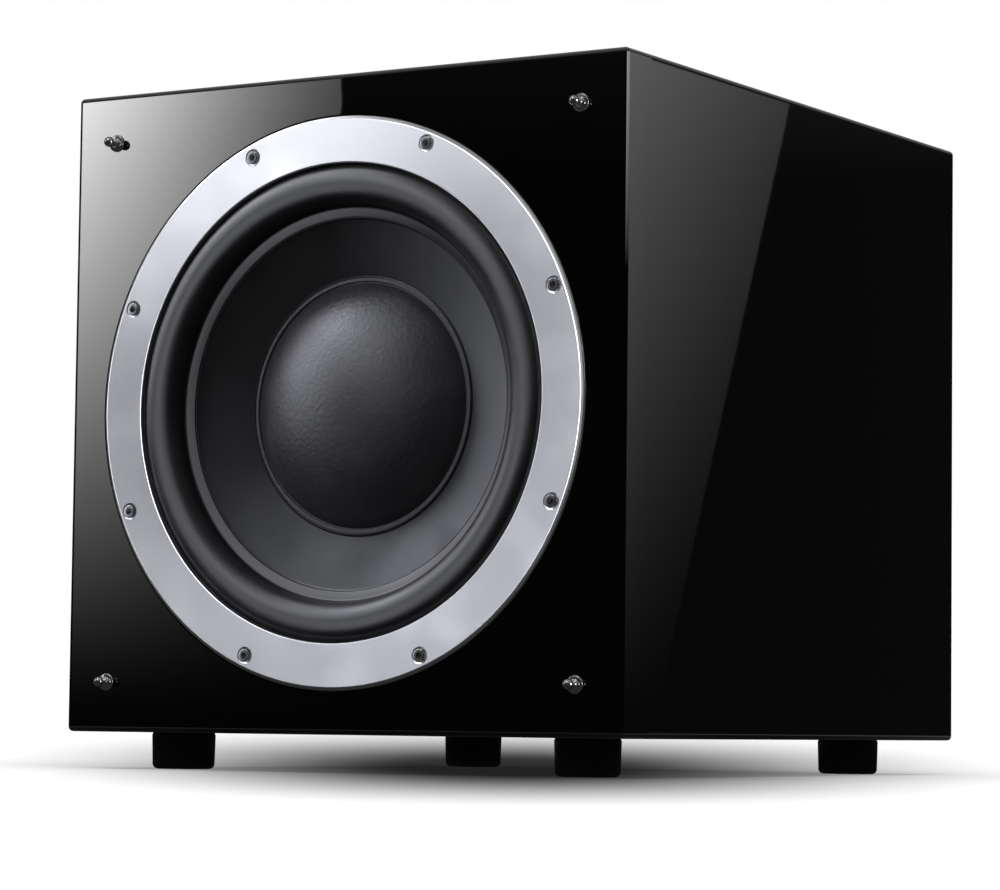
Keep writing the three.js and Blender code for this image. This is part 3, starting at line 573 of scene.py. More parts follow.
def baffle_cutters():
    deep = FRONT + 30 * MM
    opening = rod("opening", 141, FRONT - 0.01, deep, 0, AXIS_Z, facets=ROUND)
    rebate = on_axis(turn("rebate", [(0, -2), (153.6, -2), (153.0, 0.3), (153.0, 11), (0, 11)], PLAIN,
                          closed=False))
    holes = [rod(f"post_hole_{i}", 2.5, FRONT - 0.01, FRONT + 0.013, middle(node).x, middle(node).z)
             for i, node in enumerate(POST_NODES)]
    return [opening, rebate, *holes]


FOOT_NODES = [f"foot_{end}_{side}" for end in ("front", "rear") for side in ("left", "right")]
POST_NODES = [f"grille_post_{level}_{side}" for level in ("top", "bottom") for side in ("left", "right")]


def build_feet():
    """Moulded feet: slightly tapered, soft bottom edge, a recess in the sole for the fixing screw."""
    material = grained("foot_rubber")
    screw = grained("screw_steel")
    for node in FOOT_NODES:
        place = middle(node)
        outline = [(0, 9), (4.2, 9, 0.4), (4.2, 0, 1.0), (17.0, 0, 3.0), (17.5, 18.6, 0.5), (16.9, 20),
                   (0, 20)]
        foot = turn(f"{node}_finish", outline, material, SMALL * 2, closed=False)
        foot.data.transform(UPRIGHT)
        foot.data.transform(Matrix.Translation((place.x, place.y, 0)))
        finish_as(foot)
        head = turn(f"{node}_screw", [(0, 6.6), (0.9, 6.2), (3.4, 6.4, 0.5), (3.8, 8.9), (0, 8.9)], screw,
                    SMALL, closed=False)
        head.data.transform(UPRIGHT)
        head.data.transform(Matrix.Translation((place.x, place.y, 0)))
        finish_as(head, slot="screw_steel")


def build_grille_posts():
    """Ball studs that a grille clips on: flange, waist, ball."""
    material = chrome()
    for node in POST_NODES:
        place = middle(node)
        reach = (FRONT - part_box(node)[0].y) / MM
        ball = 2.8
        turns = [0.86 - 2.43 * i / 14 for i in range(14)]
        dome = [(ball * math.cos(a), ball - reach + ball * math.sin(a)) for a in turns]
        outline = [(0, 12), (2.2, 12, 0.4), (2.2, 0.05), (4.7, 0.05, 0.1), (4.7, -1.0, 0.7), (2.6, -1.3, 0.6),
                   (1.7, -2.6, 0.5), *dome, (0, -reach)]
        post = on_axis(turn(f"{node}_finish", outline, material, SMALL, closed=False), place.x, FRONT,
                       place.z)
        finish_as(post)


# ------------------------------------------------------------------ driver, seen from the front

def build_trim_ring():
    inner, outer, face = INNER_R / MM, RING_R / MM, RING_FACE
    outline = [(inner, face, 0.8), (outer - 2.3, face, 1.2), (outer - 0.5, face + 0.9, 1.4),
               (outer, face + 2.3, 1.0),
               (outer, 4, 0.3), (inner + 12, 4), (inner + 12, 2.2), (inner, 2.2, 0.3)]
    ring = on_axis(turn("trim_ring_finish", outline, satin_aluminium(), ROUND))
    front = FRONT + face * MM
    seats = [rod(f"seat_{i}", 4.6, front - 0.02 * MM, front + 3.2 * MM, x, z, flare=0.2) for i, x,
             z in screw_places()]
    holes = [rod(f"hole_{i}", 2.3, FRONT - 0.01, FRONT + 0.01, x, z) for i, x, z in screw_places()]
    carve(ring, seats + holes)
    finish_as(even_normals(ring))


def build_driver_screws():
    """Socket heads sunk in the ring; each hexagon stands at its own angle."""
    material = grained("screw_steel")
    for i, x, z in screw_places():
        low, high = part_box(f"driver_screw_{i}")
        length = (high.y - low.y) / MM
        outline = [(0, 0), (3.5, 0, 0.45), (3.5, 4, 0.2), (2, 4, 0.2), (2, length - 1), (1.2, length),
                   (0, length)]
        screw = turn(f"driver_screw_{i}_finish", outline, material, SMALL, closed=False)
        socket = turn("socket", [(0, -1), (2.15, -1), (1.8, 0.3), (1.8, 2.4), (0, 3.1)], PLAIN, 6,
                      closed=False)
        socket.data.transform(Matrix.Rotation(random.uniform(0, math.tau / 6), 4, "Y"))
        carve(screw, [socket])
        on_axis(screw, x, low.y, z)
        finish_as(even_normals(screw))


def follow_cone(piece):
    """Bakes the piece's place into its mesh."""
    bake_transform(piece)
    return piece


def half_roll(outer, inner, rise, skin, steps=22):
    """Points of an even skin bent over from its outer foot to its inner foot, front side then back side."""
    start, end = Vector(outer), Vector(inner)
    chord = end - start
    radius = chord.length ** 2 / (8 * rise) + rise / 2
    front = Vector((chord.y, -chord.x)).normalized()
    front = front if front.y < 0 else -front
    centre = (start + end) / 2 + front * (rise - radius)
    first = math.atan2(start.y - centre.y, start.x - centre.x)
    last = math.atan2(end.y - centre.y, end.x - centre.x)
    last -= math.tau if last > first else 0

    def side(r):
        angles = [first + (last - first) * (i + 0.5) / steps for i in range(steps)]
        return [(centre.x + r * math.cos(a), centre.y + r * math.sin(a)) for a in angles]
    return side(radius), side(radius - skin)[::-1]


def build_surround():
    front, back = half_roll((126.5, 2.5), (105.0, 8.6), 9.0, 1.3)
    outline = [(137.3, 2.5), (126.7, 2.5), *front, (104.4, 8.75), (103.6, 8.95), (99.6, 10.5, 0.2),
               (99.5, 11.5), (104.2, 9.75), *back, (126.9, 3.9), (137.3, 3.9)]
    piece = on_axis(turn("surround_finish", outline, RUBBER, ROUND, sharp=60))
    stand_for_node(follow_cone(piece))


def cone_front(radius):
    """Depth of the cone's front skin at a radius, gently curved towards the neck."""
    t = (104.5 - radius) / (104.5 - 32.7)
    return 9.9 + 33.1 * (0.80 * t + 0.20 * t * t)


def build_cone():
    steps = 24
    radii = [104.5 - (104.5 - 32.7) * i / steps for i in range(steps + 1)]
    front = [(r, cone_front(r)) for r in radii]
    back = [(r, cone_front(r) + 1.7) for r in reversed(radii)]
    cone = on_axis(turn("cone_finish", front + back, cone_pulp(), ROUND))
    finish_as(cone, "driver_motion")
    bead_depth = cone_front(99.2)
    bead = [(99.5, bead_depth - 0.9, 0.2), (98.7, bead_depth - 0.15, 0.2), (98.3, bead_depth + 0.15),
            (99.5, bead_depth + 0.1)]
    seam = on_axis(turn("surround_glue_line", bead, grained("black_glue"), ROUND))
    finish_as(seam, "driver_motion", "cone_fibre")


def build_dust_cap():
    """Woven dome with a narrow flat rim, glued on the cone."""
    rim, flat, height, skin = 68.8, 3.0, 26.0, 1.2
    edge = rim - flat
    depth = cone_front(67) - 1.6
    sphere = (edge ** 2 + height ** 2) / (2 * height)
    steps = 26
    radii = [edge * i / steps for i in range(steps)]
    dome = [(r, depth - height + sphere - math.sqrt(sphere ** 2 - r ** 2)) for r in radii]
    outline = [*dome, (edge - 0.2, depth + 0.9, 0.2), (edge + 0.5, depth + 0.9, 0.2),
               (edge + 0.7, depth - 0.2, 0.3),
               (rim, depth - 0.2, 0.6), (rim, depth + 1.1, 0.3), (edge - 0.9, depth + 1.8),
               *[(r, y + skin) for r, y in reversed(dome)]]
    cap = on_axis(turn("dust_cap_finish", outline, cap_weave(), ROUND, closed=False))
    finish_as(cap, "driver_motion")
    seat = cone_front(69.4)
    bead = [(68.7, seat - 1.3, 0.2), (69.6, seat - 0.7, 0.4), (70.4, seat - 0.05), (68.7, seat + 0.3)]
    glue_line = on_axis(turn("cap_glue_line", bead, grained("black_glue"), ROUND))
    finish_as(glue_line, "driver_motion", "cap_weave")


# ------------------------------------------------------------------ driver, inside the cabinet

def sector(name, inner, outer, turn_at, half_turn, low, high):
    """A ring sector with rounded corners, cut along the driver's axis; radii in mm, turns as fractions."""
    steps = 6
    angles = [math.tau * (turn_at + half_turn * (2 * i / steps - 1)) for i in range(steps + 1)]
    outline = [(outer * math.cos(a), outer * math.sin(a)) for a in angles]
    outline += [(inner * math.cos(a), inner * math.sin(a)) for a in reversed(angles)]
    for corner in (0, steps, steps + 1, -1):
        outline[corner] = (*outline[corner], 4.0)
    return prism(name, [(x, z + AXIS_Z / MM, *r) for x, z, *r in outline], low, high, PLAIN, edge_mm=0)


def build_basket():
    """Die-cast frame with six windows, and its foam gasket."""
    outline = [(127, 4, 0.4), (152.5, 4, 0.8), (152.5, 9, 0.8), (138, 9, 3), (135, 18, 6), (88, 66, 3),
               (88, 76, 1.5),
               (50, 76, 0.6), (50, 71, 0.6), (72, 71, 1.5), (72, 60, 1), (84, 60, 1.5), (130, 16, 4),
               (131, 9), (127, 9, 0.4)]
    basket = on_axis(turn("driver_basket_finish", outline, grained("cast_frame"), ROUND))
    windows = [sector("window", 86, 150, 0.25 + i / 6, 0.055, FRONT + 22 * MM,
                      FRONT + 56 * MM) for i in range(6)]
    holes = [rod(f"hole_{i}", 2.3, FRONT, FRONT + 32 * MM, x, z) for i, x, z in screw_places()]
    low = Vector((-0.020, FRONT + 0.066, AXIS_Z - 0.106))
    high = Vector((0.020, FRONT + 0.077, AXIS_Z - 0.086))
    carve(basket, [*windows, *holes, brick("terminal_seat", low, high, PLAIN)])
    finish_as(even_normals(basket))
    outline = [(141.5, 9, 0.5), (152, 9, 0.5), (152, 11, 0.5), (141.5, 11, 0.5)]
    gasket = on_axis(turn("basket_gasket_finish", outline, grained("gasket_foam")))
    carve(gasket, [rod(f"hole_{i}", 2.3, FRONT, FRONT + 32 * MM, x, z) for i, x, z in screw_places()])
    finish_as(gasket)


def build_suspension_and_coil():
    """Corrugated spider, polyimide former and the coil wound on it in even turns."""
    folds, first, last, swing, skin = 4, 39, 70, 2.0, 0.8
    steps = 56
    radii = [first + (last - first) * i / steps for i in range(steps + 1)]
    swell = [min(1, 6 * i / steps, 6 * (steps - i) / steps) for i in range(steps + 1)]
    front = [(r, 59.1 + swing * w * math.sin(math.tau * folds * (r - first) / (last - first))) for r,
             w in zip(radii, swell)]
    front = [(32.6, 59.1), *front, (83, 59.1)]
    outline = front + [(r, y + skin) for r, y in reversed(front)]
    spider = on_axis(turn("spider_finish", outline, spider_cloth(), ROUND, sharp=60))
    stand_for_node(follow_cone(spider))
    former = turn("voice_coil_former_finish", [(31.4, 42), (32.2, 42), (32.2, 98, 0.2), (31.4, 98, 0.2)],
                  grained("polyimide"))
    finish_as(on_axis(former), "driver_motion")
    first_turn, pitch = 66.4, 0.8
    wires = [(33.6 + 0.32 * math.cos(math.pi * i), first_turn + pitch * i / 2) for i in range(68)]
    coil = turn("voice_coil_finish", [(32.25, 66.1), (33.2, 66.1), *wires, (33.2, 93.9), (32.25, 93.9)],
                grained("copper"), sharp=70)
    finish_as(on_axis(coil), "driver_motion")


def build_magnet():
    steel = zinc_steel()
    gap = 35.4
    plate = turn("top_plate_finish", [(gap, 76, 0.3), (75, 76, 1.2), (75, 84, 1.2), (gap, 84, 0.3)], steel)
    magnet = turn("magnet_ring_finish", [(45, 84, 0.8), (80, 84, 1.5), (80, 114, 1.5), (45, 114, 0.8)],
                  grained("ferrite"))
    yoke = turn("pole_yoke_finish", [(11, 75, 0.8), (29.9, 75, 1), (30.4, 114, 1.5), (77, 114, 0.6),
                                     (77, 121, 2), (71, 124, 1.5), (16, 124, 1), (11, 119, 1)], steel)
    for piece in (plate, magnet, yoke):
        finish_as(even_normals(on_axis(piece)))


def build_wiring():
    """Terminal block, rope-laid leads, and a two-core cable to the amplifier."""
    low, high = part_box("terminal_block")
    low.y += 5 * MM
    body = brick("terminal_block_finish", low, high, grained("black_plastic"), edge_mm=0.8)
    finish_as(body)
    tin = grained("nickel")
    for side, x in (("left", -9 * MM), ("right", 9 * MM)):
        z = middle("terminal_block").z - 2 * MM
        tab = prism(f"terminal_tab_{side}", rectangle(x, z, 5, 1, 0.3), low.y - 5 * MM, low.y, tin,
                    edge_mm=0.15)
        finish_as(tab, slot="nickel")

    braid = grained("copper")
    for side, sign in (("left", -1), ("right", 1)):
        places = [(9, 98, 65.5), (9.5, 100, 58), (10, 96, 50), (11, 84, 43), (12, 70, 44), (12, 56, 46),
                  (12, 47, 41)]
        points = [(sign * x * MM, FRONT + y * MM, AXIS_Z - drop * MM) for x, drop, y in places]
        path = smooth_path(points, 140)
        lead = sweep(f"tinsel_lead_{side}_finish", path, braid,
                     lambda a, d: 0.9 + 0.2 * math.cos(3 * a + 1.1 * d), 12)
        stand_for_node(follow_cone(lead))

    plug = Vector((0.046, PLATE_IN - 0.0255, AXIS_Z - 0.070))
    start = Vector((0, high.y + MM, middle("terminal_block").z - MM))
    sag = AXIS_Z - 0.150
    path = smooth_path([start, (0, FRONT + 0.092, start.z - 0.004), (0.010, FRONT + 0.140, sag + 0.010),
                        (0.030, FRONT + 0.220, sag), (0.044, FRONT + 0.300, sag + 0.040),
                        (plug.x, plug.y - 0.0205, plug.z - 0.004), plug], 90)
    for colour, rgb, offset in (("red", (0.30, 0.008, 0.006), 1.3), ("black", (0.012, 0.012, 0.012), -1.3)):
        core = sweep(f"speaker_cable_{colour}", path, coloured_plastic(f"cable_{colour}", rgb),
                     lambda a, d: 1.3, 16, offset)
        finish_as(core, slot="cable_jacket")
        if colour == "red":
            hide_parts("speaker_cable")


# ------------------------------------------------------------------ amplifier

KNOBS = ("volume", "crossover")
JACKS = (("left", (0.75, 0.74, 0.70)), ("right", (0.50, 0.012, 0.010)))
AMP_SCREWS = [f"amp_screw_{i}" for i in range(1, 7)]


def window(name, node, rim_mm):
    """A cutter a little wider than the body of a fitting, which is its flange less a rim all round."""
    low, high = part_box(node)
    spread = Vector((rim_mm * MM, 0, rim_mm * MM))
    low, high = low + spread, high - spread
    low.y, high.y = PLATE_IN - MM, PLATE_OUT + MM
    return brick(name, low, high, PLAIN)


def build_amp_plate():
    low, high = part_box("amp_plate")
    size = (high - low) / MM
    outline = rectangle(0, AXIS_Z, size.x, size.z, 6.0)
    plate = prism("amp_plate_finish", outline, low.y, high.y, powder_coat(), edge_mm=0.5)
    through = (PLATE_IN - MM, PLATE_OUT + MM)
    cutters = [window("switch_window", "power_switch_body", 1.85),
               window("inlet_window", "mains_inlet", 2.85)]
    drills = [(4.8, f"{name}_pot") for name in KNOBS] + [(5.6, f"rca_jack_{side}") for side, _ in JACKS]
    drills += [(2.1, node) for node in AMP_SCREWS]
    cutters += [rod("hole", radius, *through, middle(node).x, middle(node).z) for radius, node in drills]
    slot = middle("phase_switch_body")
    cutters.append(prism("phase_slot", rectangle(slot.x, slot.z, 12, 5, 0.8), *through, PLAIN, edge_mm=0))
    carve(plate, cutters)
    finish_as(even_normals(plate))
    build_dial_marks()


def build_dial_marks():
    """Raised printed ticks round both knobs, longer at the ends and the middle of the travel."""
    bm = bmesh.new()
    for name in KNOBS:
        centre = Vector((middle(f"{name}_pot").x, PLATE_OUT + 0.06 * MM, middle(f"{name}_pot").z))
        for i in range(11):
            turned = Matrix.Rotation(math.radians(-150 + 30 * i), 4, "Y")
            length = 4.2 if i in (0, 5, 10) else 2.6
            outward = Matrix.Translation((0, 0, (13.6 + length / 2) * MM))
            tick = Matrix.Diagonal((0.8 * MM, 0.14 * MM, length * MM, 1))
            bmesh.ops.create_cube(bm, size=1.0, matrix=Matrix.Translation(centre) @ turned @ outward @ tick)
    finish_as(new_piece("dial_marks", bm, grained("white_print")), slot="powder_coat")


def build_amp_screws():
    material = grained("black_steel")
    for node in AMP_SCREWS:
        place = middle(node)
        out = PLATE_OUT / MM
        outline = [(0, out - 16), (1.0, out - 16), (1.5, out - 15.2), (1.5, out, 0.1), (3.6, out, 0.2),
                   (3.6, out + 1.1, 0.9), (2.2, out + 2, 0.5), (0, out + 2)]
        screw = turn(f"{node}_finish", outline, material, SMALL, closed=False)
        socket = turn("socket", [(0, out + 0.6), (1.4, out + 0.9), (1.4, out + 3), (0, out + 3)], PLAIN, 6,
                      closed=False)
        socket.data.transform(Matrix.Rotation(random.uniform(0, math.tau / 6), 4, "Y"))
        carve(screw, [socket])
        finish_as(even_normals(on_axis(screw, place.x, 0, place.z)))


def build_heat_sink():
    """Extruded comb: rounded fin tips and eased saw-cut ends."""
    low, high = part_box("heat_sink")
    fins, thick, base, tip = 15, 2.0, 4.0, (high.y - low.y) / MM
    width, back = (high.x - low.x) / MM, low.y / MM
    pitch = (width - thick) / (fins - 1)
    outline = [(width / 2, back, 0.5), (-width / 2, back, 0.5)]
    for i in range(fins):
        left = -width / 2 + i * pitch
        foot = [(left, back + base, 0.8)] if i else []
        outline += [*foot, (left + 0.15, back + tip, 0.7), (left + thick - 0.15, back + tip, 0.7)]
        outline += [(left + thick, back + base, 0.8)] if i < fins - 1 else []
    sink = prism("heat_sink_finish", outline[::-1], low.z, high.z, black_anodised(), edge_mm=0.4, along="z")
    finish_as(sink)


def fluted(angle, radius):
    return radius - (0.45 * max(0, math.cos(24 * angle)) ** 2 if radius > 9.5 else 0)


def build_controls():
    """Fluted knobs with a white pointer on steel shafts, and the pots behind the plate."""
    soft, steel, white = grained("black_plastic"), zinc_steel(), grained("white_print")
    out = PLATE_OUT / MM + 1
    for name in KNOBS:
        x, _, z = middle(f"{name}_pot")
        outline = [(0, out), (11, out, 0.3), (11, out + 2, 0.6), (10.3, out + 2.6, 0.4), (9.9, out + 14, 1.4),
                   (7.6, out + 14, 0.5), (7.1, out + 13.5, 0.5), (0, out + 13.5)]
        knob = turn(f"{name}_knob_finish", outline, soft, ROUND * 2, closed=False, shape=fluted)
        finish_as(on_axis(knob, x, 0, z), f"{name}_control")
        section = rectangle(x, z + 6.9 * MM, 1.3, 5.6, 0.4)
        pointer = prism(f"{name}_pointer", section, (out + 13) * MM, (out + 14.3) * MM, white, edge_mm=0.2)
        finish_as(pointer, f"{name}_control", "black_plastic")
        shaft = rod(f"{name}_shaft", 3, PLATE_IN - 9 * MM, (out + 2) * MM, x, z, steel)
        finish_as(shaft, f"{name}_control", "zinc_steel")

        low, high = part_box(f"{name}_pot")
        high.y = PLATE_IN - 0.3 * MM
        can = brick(f"{name}_pot_finish", low, high, steel, edge_mm=0.9)
        carve(can, [rod("bore", 3.3, PLATE_IN - 10 * MM, PLATE_OUT, x, z)])
        finish_as(even_normals(can))
        ridges = [(4.4 - 0.35 * (i % 2), (PLATE_IN / MM - 0.3) + 0.35 * i) for i in range(10)]
        bush = turn(f"{name}_bush", [(3.3, ridges[0][1]), *ridges, (3.3, ridges[-1][1])], steel, SMALL,
                    sharp=60)
        finish_as(on_axis(bush, x, 0, z), slot="zinc_steel")


def build_phase_switch():
    steel, soft = zinc_steel(), grained("black_plastic")
    low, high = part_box("phase_switch_body")
    body = brick("phase_switch_body_finish", low, high, steel, edge_mm=0.5)
    place = (low + high) / 2
    carve(body, [prism("slot", rectangle(place.x, place.z, 11, 4, 0.5), PLATE_IN - 7 * MM, PLATE_IN + MM,
                       PLAIN, edge_mm=0)])
    finish_as(even_normals(body))
    low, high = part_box("phase_switch_lever")
    left, right, tip = low.x / MM, high.x / MM, high.y / MM
    teeth = [(right - (i + 0.5) * (right - left) / 6, tip - 0.55 * (i % 2), 0.15) for i in range(6)]
    outline = [(left, low.y / MM, 0.4), (right, low.y / MM, 0.4), (right, tip - 0.6, 0.2), *teeth,
               (left, tip - 0.6, 0.2)]
    lever = prism("phase_switch_lever_finish", outline, low.z, high.z, soft, edge_mm=0.1, along="z")
    finish_as(lever, "phase_lever")


def build_power_switch():
    """A rocker that rests tilted to off in its moulded bezel."""
    soft = grained("black_plastic")
    low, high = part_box("power_switch_body")
    place = (low + high) / 2
    width, height = (high.x - low.x) / MM, (high.z - low.z) / MM
    bezel = prism("power_switch_body_finish", rectangle(place.x, place.z, width, height, 2), PLATE_OUT,
                  high.y, soft, edge_mm=0.7)
    can = prism("can", rectangle(place.x, place.z, width - 4, height - 4, 1), low.y, PLATE_OUT + 0.5 * MM,
                soft, edge_mm=0.4)
    well = prism("well", rectangle(place.x, place.z, width - 7, height - 8, 0.8), PLATE_IN - 7 * MM,
                 high.y + MM, PLAIN, edge_mm=0)
    for cutter in (can, well):
        cutter.modifiers.clear()
    carve(carve(bezel, [can], "UNION"), [well])
    finish_as(even_normals(bezel))

    half, reach = (width - 9) / 2, (height - 10) / 2 * MM
    steps = 8
    left = [(-half + half * i / steps, 3.6 - 2 * i / steps - 0.35 * math.sin(math.pi * i / steps))
            for i in range(1, steps)]
    right = [(-x, y) for x, y in reversed(left)]
    outline = [(-half, 0, 0.6), (-half, 3.6, 0.6), *left, (0, 1.6), *right, (half, 3.6, 0.6), (half, 0, 0.6),
               (0, -5, 1)]
    key = prism("power_rocker_finish", outline[::-1], place.z - reach, place.z + reach, soft, edge_mm=0.4,
                along="z")
    key.data.transform(Matrix.Rotation(math.radians(8), 4, "Z"))
    key.data.transform(Matrix.Translation((place.x, PLATE_OUT + MM, 0)))
    finish_as(key, "power_key")


def build_mains_inlet():
    """Three-pin inlet with chamfered shroud, blades, and the fuse drawer beside it."""
    soft, tin = grained("black_plastic"), grained("nickel")
    low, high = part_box("mains_inlet")
    place = (low + high) / 2
    width, height = (high.x - low.x) / MM, (high.z - low.z) / MM
    flange = prism("mains_inlet_finish", rectangle(place.x, place.z, width, height, 3), PLATE_OUT, high.y,
                   soft, edge_mm=0.8)
    can = prism("can", rectangle(place.x, place.z, width - 6, height - 6, 1), low.y, PLATE_OUT + 0.5 * MM,
                soft, edge_mm=0.5)
    middle_x, middle_z = place.x / MM - 6, place.z / MM
    shroud = [(-12.5, -8.5, 1), (12.5, -8.5, 1), (12.5, 4, 0.8), (8, 8.5, 0.8), (-8, 8.5, 0.8),
              (-12.5, 4, 0.8)]
    shroud = [(middle_x + x, middle_z + z, r) for x, z, r in shroud]
    well = prism("well", shroud, PLATE_IN - 14 * MM, high.y + MM, PLAIN, edge_mm=0)
    drawer = middle("fuse_drawer")
    slot = prism("slot", rectangle(place.x + 14.5 * MM, place.z, 9, 19, 0.3), PLATE_IN - 20 * MM, high.y + MM,
                 PLAIN, edge_mm=0)
    for cutter in (can, well, slot):
        cutter.modifiers.clear()
    carve(carve(flange, [can], "UNION"), [well, slot])
    finish_as(even_normals(flange))
    for name, x, z in (("left", -13, 0), ("earth", -6, 3.5), ("right", 1, 0)):
        section = rectangle(place.x + x * MM, place.z + z * MM, 2, 4, 0.8)
        blade = prism(f"inlet_blade_{name}", section, PLATE_IN - 15 * MM, PLATE_OUT + 0.5 * MM, tin,
                      edge_mm=0.4)
        finish_as(blade, slot="nickel")

    low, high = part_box("fuse_drawer")
    face = high.y - 1.6 * MM
    tray = prism("fuse_drawer_finish", rectangle(drawer.x, drawer.z, 8.4, 18.4, 1.0), low.y, face, soft,
                 edge_mm=0.4)
    grip = prism("grip", rectangle(drawer.x, drawer.z, 6, 3, 0.6), face - 0.5 * MM, high.y, soft, edge_mm=0.4)
    pocket = brick("pocket", Vector((drawer.x - 1.5 * MM, PLATE_IN - 16 * MM, drawer.z - 7 * MM)),
                   Vector((drawer.x + 4.5 * MM, PLATE_IN - 2 * MM, drawer.z + 7 * MM)), PLAIN)
    grip.modifiers.clear()
    carve(carve(tray, [grip], "UNION"), [pocket])
    finish_as(even_normals(tray), "fuse_holder")


def build_jacks():
    """Phono sockets: grooved collar, coloured insulator, hexagon nut, moulded body behind the plate."""
    tin, soft = grained("nickel"), grained("black_plastic")
    out = PLATE_OUT / MM
    for side, rgb in JACKS:
        x, _, z = middle(f"rca_jack_{side}")
        grooves = [(4.6 - 0.3 * (i % 2), out + 2.4 + 0.4 * i) for i in range(9)]
        outline = [(3.5, out - 4), (4.6, out - 4), *grooves, (4.3, out + 6.4), (4.3, out + 9, 0.5),
                   (3.5, out + 9, 0.2)]
        collar = turn(f"rca_jack_{side}_finish", outline, tin, SMALL, sharp=50)
        finish_as(on_axis(collar, x, 0, z))
        plastic = coloured_plastic(f"insulator_{side}", rgb)
        outline = [(1.7, out - 4), (3.45, out - 4), (3.45, out + 8.2, 0.4), (1.7, out + 8.2, 0.3)]
        core = turn(f"rca_insulator_{side}", outline, plastic, SMALL)
        finish_as(on_axis(core, x, 0, z), slot="nickel")
        nut = prism(f"rca_nut_{side}", hexagon(x, z, 7), PLATE_OUT, PLATE_OUT + 2.2 * MM, tin, edge_mm=0.4)
        carve(nut, [rod("bore", 4.62, PLATE_OUT - MM, PLATE_OUT + 4 * MM, x, z)])
        finish_as(even_normals(nut), slot="nickel")
        body = brick(f"rca_body_{side}", (x - 6.5 * MM, PLATE_IN - 10 * MM, z - 6.5 * MM),
                     (x + 6.5 * MM, PLATE_IN - 0.3 * MM, z + 6.5 * MM), soft, edge_mm=0.6)
        finish_as(body, slot="black_plastic")


def build_board():
    """Circuit board with cans, wound inductors, a heat spreader, a relay, a plug and small parts."""
    low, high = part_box("amp_board")
    centre, board_out = (low + high) / 2, high.y
    board_in = board_out - 1.6 * MM
    board = brick("amp_board_finish", (low.x, board_in, low.z), (high.x, board_out, high.z), circuit_board(),
                  edge_mm=0.2)
    finish_as(board)
    sleeve, soft, tin = coloured_plastic("capacitor_sleeve",
                                         (0.01, 0.012, 0.03)), grained("black_plastic"), grained("nickel")
    y0 = board_in / MM
    for i, x in enumerate((-74, -44)):
        outline = [(0, y0 - 36), (9, y0 - 36, 0.4), (9.4, y0 - 35.6, 0.3), (12, y0 - 36, 1),
                   (12, y0 - 5, 0.8), (11.4, y0 - 4, 0.8), (12, y0 - 3, 0.8), (12, y0, 0.5), (0, y0)]
        can = turn(f"reservoir_can_{i + 1}", outline, sleeve, SMALL, closed=False)
        finish_as(on_axis(can, x * MM, 0, centre.z - 29 * MM), slot="circuit_board")
    wire = grained("copper")
    for i, x in enumerate((14, 40)):
        outline = [(3, y0 - 13, 3), (9, y0 - 13, 3), (9, y0 - 0.2, 3), (3, y0 - 0.2, 3)]
        coil = turn(f"inductor_{i + 1}", outline, wire, 192, shape=lambda a, r: r + 0.25 * math.cos(32 * a))
        finish_as(on_axis(coil, x * MM, 0, centre.z + 15 * MM), slot="coil_copper")
    blocks = {"heat_spreader": (80, 3, 12, 60, 24, black_anodised()), "relay": (-14, -23, 18, 26, 14, soft),
              "speaker_plug": (46, -41, 16, 10, 8, grained("white_print")),
              "chip_1": (-20, 30, 16, 10, 3, soft), "chip_2": (-60, 34, 12, 12, 3, soft)}
    for name, (x, z, width, height, deep, material) in blocks.items():
        corner = Vector((x * MM - width / 2 * MM, board_in - deep * MM, centre.z + (z - height / 2) * MM))
        block = brick(name, corner, corner + Vector((width, deep, height)) * MM, material, edge_mm=0.5)
        finish_as(block, slot="circuit_board")
    beige = coloured_plastic("resistor_body", (0.45, 0.32, 0.17))
    for i in range(14):
        x, z = (-84 + 7 * (i % 7)) * MM, centre.z + (2 + 14 * (i // 7)) * MM
        outline = [(0, -4.6), (1, -4.6, 0.3), (1.1, -2.6, 0.3), (0.8, -2, 0.3), (0.8, 2, 0.3),
                   (1.1, 2.6, 0.3), (1, 4.6, 0.3), (0, 4.6)]
        barrel = turn(f"resistor_{i + 1}", outline, beige, 16, closed=False)
        barrel.data.transform(UPRIGHT)
        finish_as(on_axis(barrel, x, board_in - 1.2 * MM, z), slot="circuit_board")
    for name, x, z in (("left", -88, 46), ("right", 88, 46), ("low_left", -88, -46), ("low_right", 88, -46)):
        stand = prism(f"board_pillar_{name}", hexagon(x * MM, centre.z + z * MM, 3), board_out,
                      PLATE_IN - 0.3 * MM, tin)
        finish_as(stand, slot="nickel")


